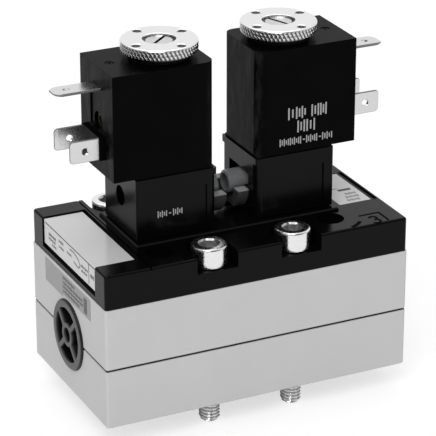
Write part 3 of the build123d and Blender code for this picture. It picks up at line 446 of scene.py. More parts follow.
def slotted_stud(tree):
    """Turned stainless steel of the core tubes: satin at the stud's end, painted dark as shade down
    in its slot.
    """
    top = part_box("right_core_tube")[1].z
    up = add_node(tree, "ShaderNodeSeparateXYZ", {"Vector": in_part(tree)}).outputs["Z"]
    # Painted shade below the stud's end
    lit = add_node(tree, "ShaderNodeMapRange", {
        "Value": up, "From Min": top - 0.4 * MM, "From Max": top - 0.15 * MM,
    })
    steel = add_node(tree, "ShaderNodeMix", {
        "Factor": lit, "A": (*linear("#1C1C1C"), 1), "B": (*linear("#C8C8C8"), 1),
    }, data_type="RGBA")
    surface(tree, grain(tree, 0.5 * MM), 0.2, 0.4, 0.02 * MM, {
        "Metallic": 1.0, "Base Color": steel,
    })


def turned_steel(tree):
    """Turned stainless steel of the plungers and springs: grey and satin."""
    metal(tree, "#C4C4C3", 0.2, 0.34, 0.25 * MM, 0.002 * MM)


def anodised_aluminium(tree):
    """Turned and anodised aluminium of the spool and sleeve: pale grey, silky."""
    metal(tree, "#CFCFD2", 0.26, 0.38, 0.3 * MM, 0.001 * MM)


def enamelled_copper(tree):
    """Enamelled copper wire of the windings, hidden in the coils: warm and glossy."""
    metal(tree, "#B0643C", 0.24, 0.36, 0.2 * MM, 0.01 * MM)


def nitrile_rubber(tree):
    """Moulded nitrile rubber of seals and washers: black and dull."""
    plastic(tree, linear("#131313"), 0.55, 0.75, 0.6 * MM, 0.006 * MM, 0.2)


def acetal_grey(tree):
    """Moulded acetal of the end plugs: painted light makes the outer face grey, and painted shade
    makes the pockets near black.
    """
    low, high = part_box("right_end_plug")
    parts = add_node(tree, "ShaderNodeSeparateXYZ", {"Vector": in_part(tree)}).outputs
    outwards = add_node(tree, "ShaderNodeMath", {0: parts["X"]}, operation="ABSOLUTE")
    # Painted light on the outer face; deeper in, the pockets take painted shade
    painted_lit = add_node(tree, "ShaderNodeMapRange", {
        "Value": outwards, "From Min": high.x - 0.8 * MM, "From Max": high.x - 0.2 * MM,
    })
    up = add_node(
        tree, "ShaderNodeMath", {0: parts["Z"], 1: (low.z + high.z) / 2}, operation="SUBTRACT",
    )
    from_axis = add_node(tree, "ShaderNodeCombineXYZ", {"Y": parts["Y"], "Z": up})
    distance = add_node(tree, "ShaderNodeVectorMath", {0: from_axis}, operation="LENGTH")
    # A thin ring at the face's edge stays dark, as a painted gap shadow
    inside = add_node(
        tree, "ShaderNodeMath", {0: distance, 1: PLUG_RADIUS - PLUG_GAP_SHADOW}, operation="LESS_THAN",
    )
    painted_light_mask = add_node(tree, "ShaderNodeMath", {0: painted_lit, 1: inside}, operation="MULTIPLY")
    grey = add_node(tree, "ShaderNodeMix", {
        "Factor": painted_light_mask, "A": (*linear("#0B0B0B"), 1), "B": (*linear("#4C4C4C"), 1),
    }, data_type="RGBA")
    surface(tree, grain(tree, 0.7 * MM), 0.36, 0.5, 0.004 * MM, {
        "Base Color": grey, "Specular IOR Level": 0.3,
    })


def nylon_grey(tree):
    """Moulded nylon of the override buttons: grey, slightly glossy."""
    plastic(tree, linear("#707173"), 0.26, 0.38, 0.6 * MM, 0.003 * MM)


def bobbin_nylon(tree):
    """Natural moulded nylon of the bobbins, hidden in the coils: off-white and waxy."""
    plastic(tree, linear("#DAD8CF"), 0.4, 0.5, 0.8 * MM, 0.003 * MM)


def label_film(tree):
    """Laminated polyester film of the labels: pale, smooth, and softly mirroring the coils."""
    plastic(tree, colours().label, 0.14, 0.2, 30 * MM, 0.001 * MM, 0.4, 0.99)


def sticker_film(tree):
    """Vinyl film of the plain stickers: grey and satin."""
    plastic(tree, colours().sticker, 0.4, 0.5, 1 * MM, 0.002 * MM)


def white_ink(tree):
    """Pad-printed pale ink on the black mouldings: flat, slightly uneven."""
    plastic(tree, colours().ink, 0.5, 0.65, 0.3 * MM, 0.001 * MM, 0.3)


def label_ink(tree):
    """Thermal print on the labels: dark grey and flat."""
    plastic(tree, colours().label_ink, 0.4, 0.55, 0.3 * MM, 0.001 * MM, 0.3)


def studio_floor(tree):
    """Pale painted floor: white to the eye and in reflections, with the valve's soft shadow."""
    path = add_node(tree, "ShaderNodeLightPath", {}).outputs
    seen = path["Is Camera Ray"]
    for ray in ("Is Glossy Ray", "Is Transmission Ray"):
        seen = add_node(tree, "ShaderNodeMath", {0: seen, 1: path[ray]}, operation="MAXIMUM")
    paint, shaded = (
        add_node(tree, "ShaderNodeBsdfDiffuse", {"Color": (*shade(colours().floor, share), 1)})
        for share in (1, 0.5)
    )
    glow = add_node(tree, "ShaderNodeEmission", {"Color": (1, 1, 1, 1), "Strength": FLOOR_GLOW})
    white = add_node(tree, "ShaderNodeAddShader", {0: shaded, 1: glow})
    floor = add_node(tree, "ShaderNodeMixShader", {0: seen, 1: paint, 2: white})
    add_node(tree, "ShaderNodeOutputMaterial", {"Surface": floor})


def studio_world():
    """White room: full white to the eye, darker on the camera's side in metal's reflections."""
    world = bpy.data.worlds.new("soft_studio")
    world.use_nodes = True
    tree = world.node_tree
    tree.nodes.clear()
    path = add_node(tree, "ShaderNodeLightPath", {}).outputs
    mirrored = add_node(
        tree, "ShaderNodeMath", {0: path["Is Glossy Ray"], 1: path["Is Transmission Ray"]},
        operation="MAXIMUM",
    )
    way = add_node(tree, "ShaderNodeTexCoord", {}).outputs["Generated"]
    towards_backdrop, towards_flag = (
        add_node(tree, "ShaderNodeVectorMath", {0: way, 1: aim}, operation="DOT_PRODUCT")
        for aim in (BACKDROP_WAY, FLAG_WAY)
    )
    room = add_node(tree, "ShaderNodeMapRange", {
        "Value": towards_backdrop, "From Min": -0.35, "From Max": 0.5,
        "To Min": ROOM_DARK, "To Max": 1.0,
    })
    # The dark flag, on the left, gives the round metal its dark side
    past_flag = add_node(tree, "ShaderNodeMapRange", {
        "Value": towards_flag, "From Min": 0.62, "From Max": 0.8,
        "To Min": 1.0, "To Max": FLAG_DARK,
    })
    seen_room = add_node(tree, "ShaderNodeMath", {0: room, 1: past_flag}, operation="MULTIPLY")
    light = add_node(
        tree, "ShaderNodeMix", {"Factor": mirrored, "A": ROOM_LIGHT, "B": seen_room},
        data_type="FLOAT",
    )
    level = add_node(
        tree, "ShaderNodeMix", {"Factor": path["Is Camera Ray"], "A": light, "B": 1.0},
        data_type="FLOAT",
    )
    sky = add_node(tree, "ShaderNodeBackground", {"Color": (1, 1, 1, 1), "Strength": level})
    add_node(tree, "ShaderNodeOutputWorld", {"Surface": sky})
    return world


def finish(make):
    """The material that a function fills in, made once and named as the function is."""
    material = bpy.data.materials.get(make.__name__)
    if not material:
        material = bpy.data.materials.new(make.__name__)
        material.use_nodes = True
        material.node_tree.nodes.clear()
        make(material.node_tree)
    return material


# Making of pieces


def mesh_piece(name, build, finishes, body, replaces=(), crease=CREASE, pick=None):
    """A new piece whose mesh build(bm) fills in, in the part's frame, riding on its body.

    The finishes are given as the functions that make them; pick tells which one a face takes.
    """
    bm = bmesh.new()
    build(bm)
    bmesh.ops.recalc_face_normals(bm, faces=bm.faces)
    if pick:
        for face in bm.faces:
            face.material_index = pick(face.calc_center_median())
    mesh = bpy.data.meshes.new(name)
    bm.to_mesh(mesh)
    bm.free()
    mesh.shade_smooth()
    mesh.set_sharp_from_angle(angle=math.radians(crease))
    piece = bpy.data.objects.new(name, mesh)
    bpy.context.scene.collection.objects.link(piece)
    for make in finishes:
        mesh.materials.append(finish(make))
    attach(piece, body)
    if replaces:
        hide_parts(*replaces)


def smooth_shading():
    """A node group that shades a mesh smooth, apart from its creases."""
    name = "smooth_shading"
    if name in bpy.data.node_groups:
        return bpy.data.node_groups[name]
    tree = bpy.data.node_groups.new(name, "GeometryNodeTree")
    for way in ("INPUT", "OUTPUT"):
        tree.interface.new_socket("Geometry", in_out=way, socket_type="NodeSocketGeometry")
    mesh = add_node(tree, "NodeGroupInput", {})
    angle = add_node(tree, "GeometryNodeInputMeshEdgeAngle", {})
    soft = add_node(
        tree, "ShaderNodeMath", {0: angle, 1: math.radians(CREASE)}, operation="LESS_THAN",
    )
    for domain, smooth in (("FACE", True), ("EDGE", soft)):
        mesh = add_node(
            tree, "GeometryNodeSetShadeSmooth", {"Geometry": mesh, "Shade Smooth": smooth},
            domain=domain,
        )
    add_node(tree, "NodeGroupOutput", {"Geometry": mesh})
    return tree


def round_edges(piece, width):
    """Rounds the sharp edges of a CAD node, and shades its curves smooth and its flats flat."""
    piece.modifiers.new("weld", "WELD").merge_threshold = 0.001 * MM
    flats = piece.modifiers.new("flats", "DECIMATE")
    flats.decimate_type = "DISSOLVE"
    flats.angle_limit = math.radians(FLAT)
    if width:
        bevel = piece.modifiers.new("edges", "BEVEL")
        bevel.width = width
        bevel.segments = 2
        bevel.limit_method = "ANGLE"
        bevel.angle_limit = math.radians(ROUNDED)
    piece.modifiers.new("shading", "NODES").node_group = smooth_shading()
    piece.modifiers.new("normals", "WEIGHTED_NORMAL").keep_sharp = True


def dress(node, make, edge=None):
    """Gives a CAD node its finish and, where it shows, smooth curves and rounded edges."""
    piece = frame["nodes"][node]
    piece.data.materials.clear()
    piece.data.materials.append(finish(make))
    if edge is not None:
        round_edges(piece, edge)


def skin(bm, rows, closed=False):
    """Joins rows of points, each as long as the next, into a skin that closes round each row."""
    rings = [[bm.verts.new(point) for point in row] for row in rows]
    for below, above in zip(rings, rings[1:] + (rings[:1] if closed else [])):
        for step, vertex in enumerate(below):
            after = (step + 1) % len(below)
            bm.faces.new((vertex, below[after], above[after], above[step]))
    return rings


def cap(bm, ring, height):
    """Closes a ring with a fan to a point in its middle at that height."""
    middle = sum((vertex.co for vertex in ring), Vector()) / len(ring)
    peak = bm.verts.new((middle.x, middle.y, height))
    for step, vertex in enumerate(ring):
        bm.faces.new((vertex, ring[(step + 1) % len(ring)], peak))


def turned(middle, steps, rows):
    """Rows of points round an upright axis. A row's radius and height may take the angle."""
    angles = [math.tau * step / steps for step in range(steps)]
    return [
        [
            Vector((
                middle.x + at_angle(radius, angle) * math.cos(angle),
                middle.y + at_angle(radius, angle) * math.sin(angle),
                at_angle(height, angle),
            ))
            for angle in angles
        ]
        for radius, height in rows
    ]


def at_angle(value, angle):
    """A number as it is, or what a function gives at that angle."""
    return value(angle) if callable(value) else value


def spread(start, end, count):
    """Numbers from start to end, both given, in equal steps."""
    return [start + (end - start) * step / (count - 1) for step in range(count)]


def ridge(value):
    """A ridge from 0 to 1 and back as the value goes through one whole number."""
    return 1 - abs(2 * (value % 1.0) - 1)


def quarter(radius, height, width, count):
    """Rows of a rounded rim, from the side at that radius to the face at that height."""
    return [
        (radius - width * (1 - math.cos(turn)), height - width * (1 - math.sin(turn)))
        for turn in spread(0, math.pi / 2, count)
    ]


def ribbon(bm, path, width, place, thickness=None):
    """A flat strip along a path of (across, up) points, all in millimetres on place's face."""
    thickness = thickness or sizes().ink_thickness / MM
    points = [Vector(point) for point in path]
    sections = []
    for index, point in enumerate(points):
        before, after = points[max(index - 1, 0)], points[min(index + 1, len(points) - 1)]
        into = (point - before).normalized() if point != before else (after - point).normalized()
        out = (after - point).normalized() if after != point else into
        along = (into + out).normalized()
        reach = width / 2 / max(along.dot(out), 0.5)
        side = Vector((-along.y, along.x)) * reach
        one, other = point - side, point + side
        sections.append([
            place(*one, 0), place(*other, 0), place(*other, thickness), place(*one, thickness),
        ])
    rings = skin(bm, sections)
    for ring in (rings[0], rings[-1]):
        bm.faces.new(ring)


def uprights(bm, left, right, low, high, pitch, width, place):
    """A row of plain upright bars from left to right, some shorter, standing for small print."""
    count = max(2, round((right - left) / pitch) + 1)
    for step, across in enumerate(spread(left, right, count)):
        trim = (high - low) * (1 - PRINT_RHYTHM[step % len(PRINT_RHYTHM)]) / 2
        ribbon(bm, [(across, low + trim), (across, high - trim)], width, place)


def facing(axis, level, side=1):
    """Puts millimetres (across, up, out) on the face that lies at that level along an axis."""
    def place(across, up, out):
        point = {
            "X": (level + side * out, across, up),
            "Y": (across, level + side * out, up),
            "Z": (across, up, level + side * out),
        }[axis]
        return Vector(point) * MM
    return place


def arc(middle, radius, start, end, count=12):
    """Points along an arc in its own plane, with angles in degrees."""
    return [
        (middle[0] + radius * math.cos(turn), middle[1] + radius * math.sin(turn))
        for turn in map(math.radians, spread(start, end, count))
    ]


def knurled_nut(bm, low, high):
    """A flat round nut: diamond knurl, rounded rim, four blind pits, and a recess at the stud."""
    middle, radius = (low + high) / 2, (high.x - low.x) / 2
    edge, depth = sizes().nut_edge, sizes().knurl_depth
    count = round(math.tau * radius / sizes().knurl_pitch)
    # How many ridges of the knurl's two leaning sets pass by in a metre of height
    rate = count * math.tan(KNURL_LEAN) / (math.tau * radius)

    def knurl(height, strength):
        def at(angle):
            turns, climb = count * angle / math.tau, rate * (height - low.z)
            # One set of grooves is full depth, the other a little over half of it
            raised = min(ridge(turns + climb), 0.45 + 0.55 * ridge(turns - climb))
            return radius - strength * depth * (1 - raised)
        return at

    def pitted(distance):
        """The top face's height at that distance from the axis, with the pits cut in."""
        def at(angle):
            nearest = min(
                math.dist(
                    (distance * math.cos(angle), distance * math.sin(angle)),
                    (PIT_PLACE * math.cos(turn), PIT_PLACE * math.sin(turn)),
                )
                for turn in PIT_ANGLES
            )
            return high.z - PIT_DEPTH * min(1, max(0, (PIT_RADIUS - nearest) / PIT_WALL))
        return at

    bore = STUD_RADIUS + BORE_CLEARANCE
    floor = high.z - RECESS_DEPTH

    def recess(wider):
        def at(angle):
            oval = RECESS_OVAL * math.cos(angle - RECESS_TURN) ** 2
            return bore + RECESS_GAP + oval + wider
        return at

    foot, brow = low.z + 0.3 * MM, high.z - edge - 0.1 * MM
    rows = [(bore, low.z), (radius - 0.35 * MM, low.z), (radius - depth, low.z + 0.15 * MM)]
    for height in spread(foot, brow, round((brow - foot) / (0.1 * MM)) + 1):
        rows.append((knurl(height, 1.0), height))
    rows.append((knurl(high.z - edge, 0.35), high.z - edge))
    rows += quarter(radius, high.z, edge, 8)[1:]
    reach = PIT_RADIUS + 0.02 * MM
    for distance in spread(PIT_PLACE + reach, PIT_PLACE - reach, 14):
        rows.append((distance, pitted(distance)))
    # The recess's edge, rounded in two steps
    for wider, drop in ((RECESS_EDGE, 0), (0.08 * MM, 0.08 * MM), (0, RECESS_EDGE)):
        rows.append((recess(wider), high.z - drop))
    rows += [(recess(0), floor), (bore, floor)]
    skin(bm, turned(middle, count * 6, rows), closed=True)


def socket_screw(bm, x, y, top, bottom):
    """A socket head screw with its thread standing out below the body."""
    across, depth = sizes().socket_width, sizes().socket_depth

    def hexagon(angle):
        return across / 2 / math.cos((angle + math.pi / 6) % (math.pi / 3) - math.pi / 6)

    def thread(height, reach):
        def at(angle):
            turn = ridge(height / sizes().thread_pitch + angle / math.tau)
            # The root is a little flat
            return reach - sizes().thread_depth * min(1, 1.25 * turn)
        return at

    seat = top - SCREW_HEAD_HEIGHT
    rows = [(hexagon, top - depth), (hexagon, top - SOCKET_MOUTH), (across / 2 * SOCKET_FLARE, top)]
    rows += reversed(quarter(SCREW_HEAD_RADIUS, top, HEAD_RIM, 7))
    rows += [
        (SCREW_HEAD_RADIUS, seat + SEAT_EDGE), (SCREW_HEAD_RADIUS - SEAT_EDGE, seat),
        (SCREW_SHANK, seat), (SCREW_SHANK, 0.0), (SCREW_THREAD, 0.0),
    ]
    for height in spread(-0.1 * MM, bottom, round(-bottom / (0.1 * MM))):
        taper = max(0.0, (bottom + TIP_TAPER) - height) * TIP_SLOPE
        rows.append((thread(height, SCREW_THREAD - taper), height))
    rings = skin(bm, turned(Vector((x, y, 0)), 72, rows))
    cap(bm, rings[0], top - depth - SOCKET_POINT)
    cap(bm, rings[-1], bottom)


def blade(bm, length, width, thickness, corner, place):
    """A stamped blade: rounded tip with a coined taper, sheared edges and a round hole."""
    edge, chamfer = SHEARED_ROUNDING, HOLE_CHAMFER
    lead = max(sizes().blade_lead, corner + 0.1 * MM)
    coin = length - lead

    def outline(inset):
        reach, half, turn = length - inset, width / 2 - inset, corner - inset
        tip = [
            (reach - turn + turn * math.sin(angle), -(half - turn + turn * math.cos(angle)))
            for angle in spread(0, math.pi / 2, 13)
        ]
        points = [(0, -half), (coin, -half), *tip]
        return points + [(along, -across) for along, across in reversed(points)]

    def level(along):
        """Half the blade's thickness, thinner in the coined taper."""
        return thickness / 2 - COIN_DEPTH * max(0, along - coin) / lead

    rings = skin(bm, [
        [place(along, across, side * (level(along) - drop)) for along, across in outline(inset)]
        for side, inset, drop in ((1, edge, 0), (1, 0, edge), (-1, 0, edge), (-1, edge, 0))
    ])
    # The sheared edges and their roundings take the second finish, painted greyer as shade
    for step in range(len(rings[0])):
        after = (step + 1) % len(rings[0])
        for upper, lower in zip(rings, rings[1:]):
            sheared = bm.faces.get((upper[step], upper[after], lower[after], lower[step]))
            sheared.material_index = 1

    hole, hole_place = sizes().blade_hole, length - sizes().blade_hole_place
    hole_rings = skin(bm, [
        [
            place(
                hole_place + (hole + wider) * math.cos(angle), (hole + wider) * math.sin(angle),
                side * (thickness / 2 - drop),
            )
            for angle in (math.tau * step / 48 for step in range(48))
        ]
        for side, wider, drop in (
            (1, chamfer, 0), (1, 0, chamfer), (-1, 0, chamfer), (-1, chamfer, 0),
        )
    ])
    for ring, hole_ring in ((rings[0], hole_rings[0]), (rings[-1], hole_rings[-1])):
        bm.faces.new(ring[1:-1])
        edges = [bm.edges.get((ring[a], ring[b])) for a, b in ((0, 1), (1, -2), (-2, -1), (-1, 0))]
        edges += [bm.edges.get((vertex, hole_ring[at - 1])) for at, vertex in enumerate(hole_ring)]
        bmesh.ops.triangle_fill(bm, use_beauty=True, edges=edges)


# The operators, one for each piece or group of like pieces


class VALVE_OT_studio(bpy.types.Operator):
    """Makes the pale floor, the soft lights and the camera of the photograph's view."""

    bl_idname = "valve.studio"
    bl_label = "Studio"

    def execute(self, context):
        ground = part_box("mounting_screws")[0].z
        bpy.ops.mesh.primitive_plane_add(size=8, location=(0, 0, ground))
        floor = context.active_object
        floor.name = "studio_floor"
        floor.data.materials.append(finish(studio_floor))

        context.scene.world = studio_world()

        aim = Vector((0, 0, 0.045))
        # Each lamp's place in metres, width in metres and power in watts
        for name, place, width, power in (
            ("key_light", (-0.45, -0.6, 0.95), 0.7, 6.6),
            ("top_light", (0.2, 0.5, 1.1), 0.8, 2.8),
        ):
            lamp = bpy.data.lights.new(name, "AREA")
            lamp.size = width
            lamp.energy = power
            light = bpy.data.objects.new(name, lamp)
            light.location = place
            light.rotation_euler = (aim - Vector(place)).to_track_quat("-Z", "Y").to_euler()
            context.scene.collection.objects.link(light)

        lens = bpy.data.cameras.new("photo_camera")
        lens.lens = CAMERA_LENS
        lens.sensor_width = 36
        lens.clip_start = 0.05
        camera = bpy.data.objects.new("photo_camera", lens)
        camera.location = CAMERA_PLACE
        camera.rotation_euler = (
            math.radians(90 - CAMERA_ELEVATION), 0, math.radians(CAMERA_AZIMUTH),
        )
        context.scene.collection.objects.link(camera)
        context.scene.camera = camera
        context.scene.view_settings.view_transform = "Standard"
        return {"FINISHED"}


class VALVE_OT_cast_body(bpy.types.Operator):
    """Finishes the two cast slabs, the gaskets above them and the seal below."""

    bl_idname = "valve.cast_body"
    bl_label = "Cast body"

    def execute(self, context):
        for node in ("lower_body", "upper_body"):
            dress(node, blasted_aluminium, sizes().cast_edge)
        for node in ("body_gasket", "base_seal", "cover_gasket"):
            dress(node, nitrile_rubber, 0)
        return {"FINISHED"}


class VALVE_OT_cover(bpy.types.Operator):
    """Finishes the black cover, its moulded marks and its own screws."""

    bl_idname = "valve.cover"
    bl_label = "Cover"

    def execute(self, context):
        dress("cover", moulded_nylon, sizes().moulded_edge)
        dress("cover_screws", black_oxide, sizes().moulded_edge)

        def build(bm):
            """Marks beside a screw recess, drawn as dead black strips of painted shade: a plain
            port number in a corner, and an arc.
            """
            face = facing("Z", (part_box("cover")[1].z - PLINTH_HEIGHT) / MM)
            upper = arc((37.0, -21.95), 1.1, 150, -80, 14)
            lower = arc((36.9, -24.05), 1.25, 80, -150, 14)
            for path, width in (
                ([(34.1, -19.0), (40.4, -19.0), (40.4, -24.9)], 0.6), (upper + lower[1:], 0.7),
                (arc((26.3, -17.0), 8.3, -72, -40), 1.1),
            ):
                ribbon(bm, path, width, face, 0.06)

        mesh_piece("cover_marks", build, (painted_mark_shade,), "valve")
        return {"FINISHED"}


class VALVE_OT_labels(bpy.types.Operator):
    """Finishes the labels and the stickers, with plain bars where they are printed."""

    bl_idname = "valve.labels"
    bl_label = "Labels"

    def execute(self, context):
        for node in ("left_label", "right_label"):
            dress(node, label_film, sizes().ink_thickness)
        for node in ("side_label", "side_field"):
            dress(node, sticker_film, 0)

        def print_side(bm):
            face = facing("X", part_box("left_label")[0].x / MM, -1)
            for left, right, bottom, top in (
                (10.0, 14.6, 41.4, 42.3), (10.4, 14.8, 40.1, 41.0), (9.8, 12.4, 38.9, 39.6),
                (4.6, 7.4, 42.2, 43.1), (4.4, 7.2, 40.6, 41.3), (-1.2, 1.5, 41.2, 41.9),
                (-12.6, -8.4, 41.2, 42.0), (-12.2, -8.8, 39.9, 40.6), (-17.0, -14.9, 40.6, 41.9),
            ):
                uprights(bm, left, right, bottom, top, 0.7, 0.4, face)
            for path in (
                [(-0.4, 43.2), (-3.4, 43.4), (-6.6, 42.4), (-7.6, 41.0), (-6.4, 40), (-3, 40.6)],
                [(-13.7, 44.2), (-13.7, 38.4)], [(17.4, 44.35), (-17.7, 44.35)],
            ):
                ribbon(bm, path, 0.3, face)

        def print_sticker(bm):
            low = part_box("side_label")[0]
            face, base = facing("X", low.x / MM, -1), low.z / MM
            for left, right, bottom, top in (
                (-4.6, 2.9, 4.7, 5.7), (-10.2, 2.9, 3.3, 4.2),
                (-10.4, 2.9, 2.0, 2.9), (-8.0, 2.9, 0.7, 1.6),
            ):
                uprights(bm, left, right, base + bottom, base + top, 0.8, 0.42, face)
            for up in spread(1.0, 5.2, 12):
                ribbon(bm, [(-13.6, base + up), (-11.4, base + up)], 0.2, face)

        def print_right(bm):
            face = facing("Z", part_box("right_label")[1].z / MM)
            ribbon(bm, [(37.6, -0.2), (41.6, -0.2)], 1.2, face)
            for up, left, right in ((-3.2, 38.6, 41.4), (-5.4, 37.6, 41.2), (-7.6, 37.0, 40.4)):
                uprights(bm, left, right, up - 0.7, up + 0.7, 0.66, 0.34, face)
            ribbon(bm, [(33.6, 3.4), (35.4, 3.0), (36.2, 1.6), (38.0, 1.2)], 0.3, face)

        for name, build in (
            ("left_label_print", print_side), ("side_label_print", print_sticker),
            ("right_label_print", print_right),
        ):
            mesh_piece(name, build, (label_ink,), "valve")
        return {"FINISHED"}


class VALVE_OT_pilots(bpy.types.Operator):
    """Finishes the pilot housings, the override buttons and the coils."""

    bl_idname = "valve.pilots"
    bl_label = "Pilots and coils"

    def execute(self, context):
        for hand in SIDES:
            for part, make, edge in (
                ("pilot_base", moulded_nylon, sizes().moulded_edge),
                ("coil_case", spark_eroded_polyester, sizes().moulded_edge),
                ("override", nylon_grey, sizes().small_edge),
                ("coil_seal", nitrile_rubber, 0), ("pilot_gasket", nitrile_rubber, 0),
                ("nut_washer", nitrile_rubber, sizes().small_edge),
            ):
                dress(f"{hand}_{part}", make, edge)

        def gates(bm):
            """Shallow moulded discs in the dimples, each with a rounded rim and a small pit."""
            for hand, side in SIDES.items():
                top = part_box(f"{hand}_coil_case")[1].z
                face, pit = top - GATE_DROP, top - 2 * GATE_DROP
                rows = [(GATE_RADIUS, top - GATE_FOOT)]
                rows += quarter(GATE_RADIUS, face, GATE_EDGE, 4)
                rows += [(0.5 * MM, face), (0.35 * MM, pit)]
                rings = skin(bm, turned(Vector((side * GATE_PLACE, 0, 0)), 40, rows))
                cap(bm, rings[-1], pit)
                bm.faces.new(rings[0])

        def print_coil(bm):
            """Three rows of plain bars on the right coil's front face."""
            face = facing("Y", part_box("right_coil_case")[0].y / MM, -1)
            for left, right in ((15.9, 17.1), (18.3, 20.9), (23.1, 25.0), (25.8, 27.4)):
                uprights(bm, left, right, 74.4, 77.9, 0.95, 0.46, face)
            for left, right in ((18.8, 20.7), (21.6, 23.8)):
                uprights(bm, left, right, 70.3, 73.8, 0.95, 0.46, face)
            for left, right in ((13.3, 19.6), (21.5, 24.6), (26.5, 29.3)):
                uprights(bm, left, right, 66.9, 69.1, 0.66, 0.34, face)
            for left in (20.3, 25.3):
                ribbon(bm, [(left, 68.0), (left + 0.7, 68.0)], 0.34, face)

        def print_base(bm):
            """A short row of plain bars in the front panel of the left housing."""
            face = facing("Y", (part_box("left_pilot_base")[0].y + PANEL_DEPTH) / MM, -1)
            for left, right in ((-23.5, -21.0), (-18.9, -16.4)):
                uprights(bm, left, right, 52.3, 54.3, 0.66, 0.34, face)
            ribbon(bm, [(-20.3, 53.2), (-19.6, 53.2)], 0.34, face)

        mesh_piece("gate_marks", gates, (spark_eroded_polyester,), "valve")
        mesh_piece("coil_print", print_coil, (white_ink,), "valve")
        mesh_piece("base_print", print_base, (white_ink,), "valve")
        return {"FINISHED"}


class VALVE_OT_terminals(bpy.types.Operator):
    """Finishes the blades and the threaded inserts between them."""

    bl_idname = "valve.terminals"
    bl_label = "Terminals"

    def execute(self, context):
        for hand, side in SIDES.items():
            for node, name, upright in (
                (f"{hand}_ground_tab", f"{hand}_ground_blade", False),
                (f"{hand}_contact_tabs", f"{hand}_contact_blades", True),
            ):
                low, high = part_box(node)
                root, height = low.x if side > 0 else high.x, (low.z + high.z) / 2
                thickness, corner = high.z - low.z, sizes().ground_corner
                places = [low.y + (high.y - low.y) / 2]
                if upright:
                    thickness, corner = CONTACT_THICKNESS, sizes().blade_corner
                    places = [low.y + thickness / 2, high.y - thickness / 2]

                def stamp(bm):
                    for middle in places:
                        def place(along, across, out):
                            if upright:
                                across, out = out, across
                            return (root + side * along, middle + across, height + out)
                        width = high.z - low.z if upright else high.y - low.y
                        blade(bm, high.x - low.x, width, thickness, corner, place)

                # The crease is low, so that the coined taper keeps its line
                mesh_piece(
                    name, stamp, (tin_plate, shaded_sheared_edge), "valve", (node,),
                    crease=8.5,
                )
            dress(f"{hand}_terminal_insert", shaded_turned_brass, sizes().small_edge)
        return {"FINISHED"}


class VALVE_OT_end_plugs(bpy.types.Operator):
    """Finishes the spoked end plugs."""

    bl_idname = "valve.end_plugs"
    bl_label = "End plugs"

    def execute(self, context):
        for hand in SIDES:
            dress(f"{hand}_end_plug", acetal_grey, sizes().moulded_edge)
        return {"FINISHED"}


class VALVE_OT_screws(bpy.types.Operator):
    """Makes the mounting screws and finishes the screws of the pilot housings."""

    bl_idname = "valve.screws"
    bl_label = "Screws"

    def execute(self, context):
        low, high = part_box("mounting_screws")
        axes = []
        for name in ("front_studs", "back_studs"):
            place, spacing = MOUNTS[name]["pos_m"], MOUNTS[name]["dims"]["spacing_x_mm"] * MM
            axes += [(place[0] + side * spacing / 2, place[1]) for side in SIDES.values()]

        def build(bm):
            for x, y in axes:
                socket_screw(bm, x, y, high.z, low.z)

        def pick(place):
            """Bright outside, painted shade in the sockets."""
            distance = min(math.dist((place.x, place.y), axis) for axis in axes)
            depth = high.z - place.z
            in_socket = 0.1 * MM < depth < 2 * sizes().socket_depth
            return int(in_socket and distance < sizes().socket_width * 0.6)

        mesh_piece(
            "socket_screws", build, (bright_zinc, painted_socket_shade), "valve",
            ("mounting_screws",), pick=pick,
        )
        dress("pilot_screws", bright_zinc, 0)
        return {"FINISHED"}


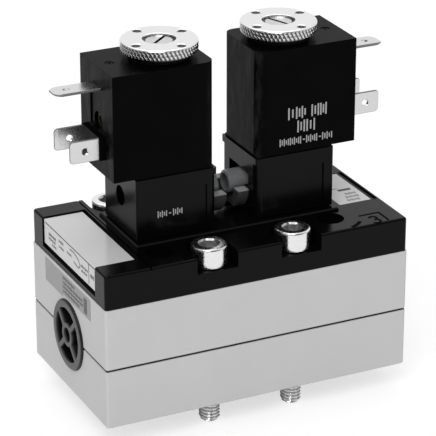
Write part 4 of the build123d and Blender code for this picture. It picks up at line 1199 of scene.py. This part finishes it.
class VALVE_OT_coil_nuts(bpy.types.Operator):
    """Makes the knurled nuts and finishes the studs in them."""

    bl_idname = "valve.coil_nuts"
    bl_label = "Coil nuts"

    def execute(self, context):
        for hand in SIDES:
            low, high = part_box(f"{hand}_coil_nut")
            middle = (low + high) / 2

            def pick(place):
                """The turned top, the knurled side, or the painted shade in the pits and recess."""
                distance = math.hypot(place.x - middle.x, place.y - middle.y)
                depth, reach = high.z - place.z, PIT_RADIUS + 0.2 * MM
                if distance > PIT_PLACE + reach:
                    return 1 if depth > sizes().nut_edge else 0
                bright = 0.14 * MM if distance > PIT_PLACE - reach else 0.7 * RECESS_DEPTH
                return 2 if depth > bright else 0

            mesh_piece(
                f"{hand}_knurled_nut", lambda bm: knurled_nut(bm, low, high),
                (turned_nickel, knurled_nickel, painted_recess_shade), f"{hand}_nut",
                (f"{hand}_coil_nut",), crease=40, pick=pick,
            )
            dress(f"{hand}_core_tube", slotted_stud, sizes().small_edge)
        return {"FINISHED"}


class VALVE_OT_inner_pieces(bpy.types.Operator):
    """Finishes the pieces that are held inside."""

    bl_idname = "valve.inner_pieces"
    bl_label = "Inner pieces"

    def execute(self, context):
        for node in ("spool", "spool_sleeve"):
            dress(node, anodised_aluminium)
        for node in ("bore_seals", "sleeve_seals", "piston_seals", "plug_seals"):
            dress(node, nitrile_rubber)
        for hand in SIDES:
            for part, make in (
                ("plunger", turned_steel), ("plunger_spring", turned_steel),
                ("override_spring", turned_steel), ("flux_frame", bright_zinc),
                ("piston", acetal_grey), ("bobbin", bobbin_nylon), ("winding", enamelled_copper),
            ):
                dress(f"{hand}_{part}", make)
        return {"FINISHED"}


class VALVE_PT_panel(bpy.types.Panel):
    """Lists the steps that dress the valve."""

    bl_label = "Valve"
    bl_idname = "VALVE_PT_panel"
    bl_space_type = "VIEW_3D"
    bl_region_type = "UI"
    bl_category = "Valve"

    def draw(self, context):
        for operator in STEPS:
            self.layout.operator(operator.bl_idname)


STEPS = (
    VALVE_OT_studio, VALVE_OT_cast_body, VALVE_OT_end_plugs, VALVE_OT_cover, VALVE_OT_labels,
    VALVE_OT_screws, VALVE_OT_pilots, VALVE_OT_terminals, VALVE_OT_coil_nuts,
    VALVE_OT_inner_pieces,
)
CLASSES = (ValveSizes, ValveColours, *STEPS, VALVE_PT_panel)


def register():
    for item in CLASSES:
        bpy.utils.register_class(item)
    bpy.types.Scene.valve_sizes = bpy.props.PointerProperty(type=ValveSizes)
    bpy.types.Scene.valve_colours = bpy.props.PointerProperty(type=ValveColours)


def unregister():
    del bpy.types.Scene.valve_sizes
    del bpy.types.Scene.valve_colours
    for item in reversed(CLASSES):
        bpy.utils.unregister_class(item)


def main():
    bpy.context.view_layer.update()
    register()
    for operator in STEPS:
        group, step = operator.bl_idname.split(".")
        getattr(getattr(bpy.ops, group), step)()


if __name__ == "__main__":
    main()
